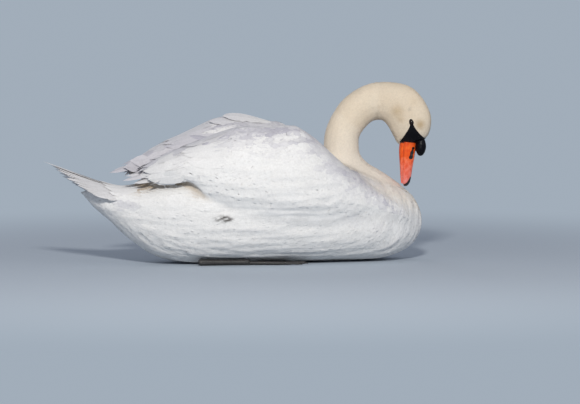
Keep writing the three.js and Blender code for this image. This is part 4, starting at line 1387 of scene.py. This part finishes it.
# ---------------------------------------------------------------- the feet
# The feet lie folded under the belly, shank and toes flat on the floor. Leathery charcoal
# skin in small plates covers them, with a web between the toes and a blunt claw on each.
FOOT_VOXEL, CLAW_VOXEL = 0.0013, 0.0006
HEEL, HIND_TOE = (0.035, 0.42), (0.33, 0.16)  # shares of the leg's length and width
ANKLE, BALL = (0.42, 0.36), (0.44, 0.50)  # where the hind toe and the three others leave
TOES = (
    # length and width shares of the tip, count of joints, radius
    (0.80, 0.11, 3, 0.0039),
    (0.95, 0.46, 4, 0.0045),
    (0.88, 0.87, 5, 0.0039),
)
WEB_START, WEB_REACH, WEB_NOTCH, WEB_HALF = 0.04, 0.93, 0.20, 0.0011
WEB_ACROSS, WEB_ALONG = 8, 12  # steps of its grid
CLAW_LENGTH, CLAW_RADIUS, CLAW_DROP = 0.010, 0.0024, 0.0022
CHARCOAL = ((0.050, 0.047, 0.046, 1), (0.014, 0.014, 0.015, 1))
CLAW_BROWN = ((0.012, 0.010, 0.009, 1), (0.055, 0.045, 0.036, 1))


def bead(form, place, radius, subdivisions):
    bmesh.ops.create_icosphere(
        form, subdivisions=subdivisions, radius=radius, matrix=Matrix.Translation(place),
    )


def bead_chain(form, start, end, radius, joints, taper):
    """Round beads from start to end, swollen at the joints."""
    for t in np.linspace(0, 1, 44):
        swell = 1 + 0.20 * math.cos(math.pi * joints * t) ** 6
        bead(form, start.lerp(end, t), radius * (1 - taper * t) * swell, 1)


def web(form, ball, first, second):
    """A thin skin between two toes, with its front edge drawn in."""
    sheets = []
    for side_height in (WEB_HALF, -WEB_HALF):
        grid = []
        for u in np.linspace(0, 1, WEB_ACROSS + 1):
            reach = WEB_REACH - WEB_NOTCH * math.sin(math.pi * u)
            toe = first.lerp(second, u)
            shares = WEB_START + (reach - WEB_START) * np.linspace(0, 1, WEB_ALONG + 1)
            grid.append([form.verts.new(ball.lerp(toe, t) + Vector((0, 0, side_height))) for t in shares])
        sheets.append(grid)
    top, bottom = sheets
    for i in range(WEB_ACROSS):
        for j in range(WEB_ALONG):
            for grid, turn in ((top, 1), (bottom, -1)):
                form.faces.new((grid[i][j], grid[i + 1][j], grid[i + 1][j + 1], grid[i][j + 1])[::turn])
    rim = [(i, 0) for i in range(WEB_ACROSS)] + [(WEB_ACROSS, j) for j in range(WEB_ALONG)]
    rim += [(i, WEB_ALONG) for i in range(WEB_ACROSS, 0, -1)] + [(0, j) for j in range(WEB_ALONG, 0, -1)]
    for (a, b), (c, d) in zip(rim, rim[1:] + rim[:1]):
        form.faces.new((top[a][b], bottom[a][b], bottom[c][d], top[c][d]))


def cast(form, name, voxel, rounds):
    """A form made one smooth closed surface that doesn't touch the floor."""
    made = remesh(finished(form, name), voxel)
    soften(made.data, places(made.data), rounds)
    put_places(made.data, above_floor(places(made.data)))
    return made


scale_finish, tree, shader = painted("scaly foot skin", 0.5, Coat_Weight=0.1)
plates = cells(tree, object_place(tree), 420.0)
relief = {"Height": plates, "Strength": 0.7, "Distance": 0.0006}
plate_bump = wire(tree, "ShaderNodeBump", relief, invert=True).outputs[0]
feed(tree, shader, Base_Color=mixed(tree, plates, *CHARCOAL), Normal=plate_bump)
claw_finish, tree, shader = painted("claw horn", 0.35, Coat_Weight=0.2)
claw_cloud = noise(tree, object_place(tree), 500.0, 3.0)
feed(tree, shader, Base_Color=mixed(tree, claw_cloud, *CLAW_BROWN))

claw_form = bmesh.new()
for side in ("left", "right"):
    low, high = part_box("leg_" + side)
    inner, outer = (low.y, high.y) if side == "left" else (high.y, low.y)

    def on_foot(spot, up_here):
        """A place in the leg's box: shares from heel to toe and from inner to outer side."""
        return Vector((low.x + (high.x - low.x) * spot[0], inner + (outer - inner) * spot[1], up_here))

    foot_form = bmesh.new()
    ball = on_foot(BALL, 0.0048)
    bead_chain(foot_form, on_foot(HEEL, 0.0074), on_foot(BALL, 0.0066), 0.0070, 1, 0.12)
    bead_chain(foot_form, on_foot(ANKLE, 0.0048), on_foot(HIND_TOE, 0.0034), 0.0030, 1, 0.2)
    tips = []
    for *spot, joints, radius in TOES:
        tip = on_foot(spot, 0.0034)
        tips.append(tip)
        bead_chain(foot_form, ball, tip, radius, joints, 0.32)
        ahead = (tip - ball).normalized()
        for t in np.linspace(0, 1, 9):
            claw_place = tip - ahead * 0.001 + ahead * CLAW_LENGTH * t - Vector((0, 0, CLAW_DROP * t * t))
            bead(claw_form, claw_place, CLAW_RADIUS * (1 - 0.8 * t) + 0.0002, 2)
    for first, second in zip(tips, tips[1:]):
        web(foot_form, ball, first, second)
    dressed(cast(foot_form, "foot_" + side, FOOT_VOXEL, 3), scale_finish, "foot_skin", ("leg_" + side,))
dressed(cast(claw_form, "claws", CLAW_VOXEL, 4), claw_finish, "foot_skin")

# ---------------------------------------------------------------- the studio
# A pale floor and backdrop, a cool grey that sets off the white bird, under soft lamps.
# The camera stands far off, almost level, a little ahead of the bird's right side.
FLOOR_COLOUR = (0.44, 0.50, 0.57, 1)
BACKDROP = (0.36, 0.42, 0.49, 1)
SKY_COLOUR, SKY_STRENGTH = (0.82, 0.87, 1.0, 1), 0.34
LOOK_AT = Vector((0.075, 0.0, 0.127))
CAMERA_AZIMUTH = math.radians(-12)
CAMERA_ELEVATION = math.radians(4)
CAMERA_DISTANCE = 6.93
FADE = (0.55, 1.7)  # how far from the middle the floor turns into the backdrop

floor_form = bmesh.new()
bmesh.ops.create_grid(floor_form, x_segments=2, y_segments=2, size=60.0)
floor = linked("floor", mesh_of(floor_form, "floor"))
floor_paint, tree, shader = painted("floor", 0.9, Base_Color=FLOOR_COLOUR)
from_middle = vectors(tree, "LENGTH", object_place(tree), output="Value")
far = ranged(tree, from_middle, *FADE, curve="SMOOTHSTEP")
seen = wire(tree, "ShaderNodeLightPath").outputs["Is Camera Ray"]
far_light = wire(tree, "ShaderNodeEmission", {"Color": BACKDROP, "Strength": 1.0})
parts = {0: sums(tree, "MULTIPLY", far, seen), 1: shader.outputs[0], 2: far_light.outputs[0]}
faded = wire(tree, "ShaderNodeMixShader", parts)
tree.links.new(faded.outputs[0], tree.nodes["Material Output"].inputs["Surface"])
floor.data.materials.append(floor_paint)

world = bpy.data.worlds.new("studio")
world.use_nodes = True
sky = world.node_tree
sky_light = sky.nodes["Background"]
sky_light.inputs["Color"].default_value = SKY_COLOUR
sky_light.inputs["Strength"].default_value = SKY_STRENGTH
sky_seen = wire(sky, "ShaderNodeBackground", {"Color": BACKDROP, "Strength": 1.0})
seen = wire(sky, "ShaderNodeLightPath").outputs["Is Camera Ray"]
sky_mix = wire(sky, "ShaderNodeMixShader", {0: seen, 1: sky_light.outputs[0], 2: sky_seen.outputs[0]})
sky.links.new(sky_mix.outputs[0], sky.nodes["World Output"].inputs["Surface"])
bpy.context.scene.world = world

for name, place, size, power, colour in (
    # in metres and watts
    ("sun", (-0.75, -3.6, 1.95), 0.35, 118, (1.0, 0.965, 0.91)),
    ("front", (2.6, -2.2, 1.4), 1.6, 9, (1.0, 0.98, 0.95)),
    ("rim", (-0.6, 3.0, 2.4), 1.8, 14, (0.94, 0.96, 1.0)),
):
    light = bpy.data.lights.new(name, "AREA")
    light.size = size
    light.energy = power
    light.color = colour
    lamp = linked(name, light)
    lamp.location = place
    lamp.rotation_euler = (LOOK_AT - Vector(place)).to_track_quat("-Z", "Y").to_euler()

forward = Vector((
    -math.sin(CAMERA_AZIMUTH) * math.cos(CAMERA_ELEVATION),
    math.cos(CAMERA_AZIMUTH) * math.cos(CAMERA_ELEVATION),
    -math.sin(CAMERA_ELEVATION),
))
lens = bpy.data.cameras.new("camera")
lens.lens = 200
lens.sensor_width = 36
camera = linked("camera", lens)
camera.location = LOOK_AT - forward * CAMERA_DISTANCE
camera.rotation_euler = forward.to_track_quat("-Z", "Y").to_euler()
bpy.context.scene.camera = camera
bpy.context.scene.view_settings.view_transform = "Standard"
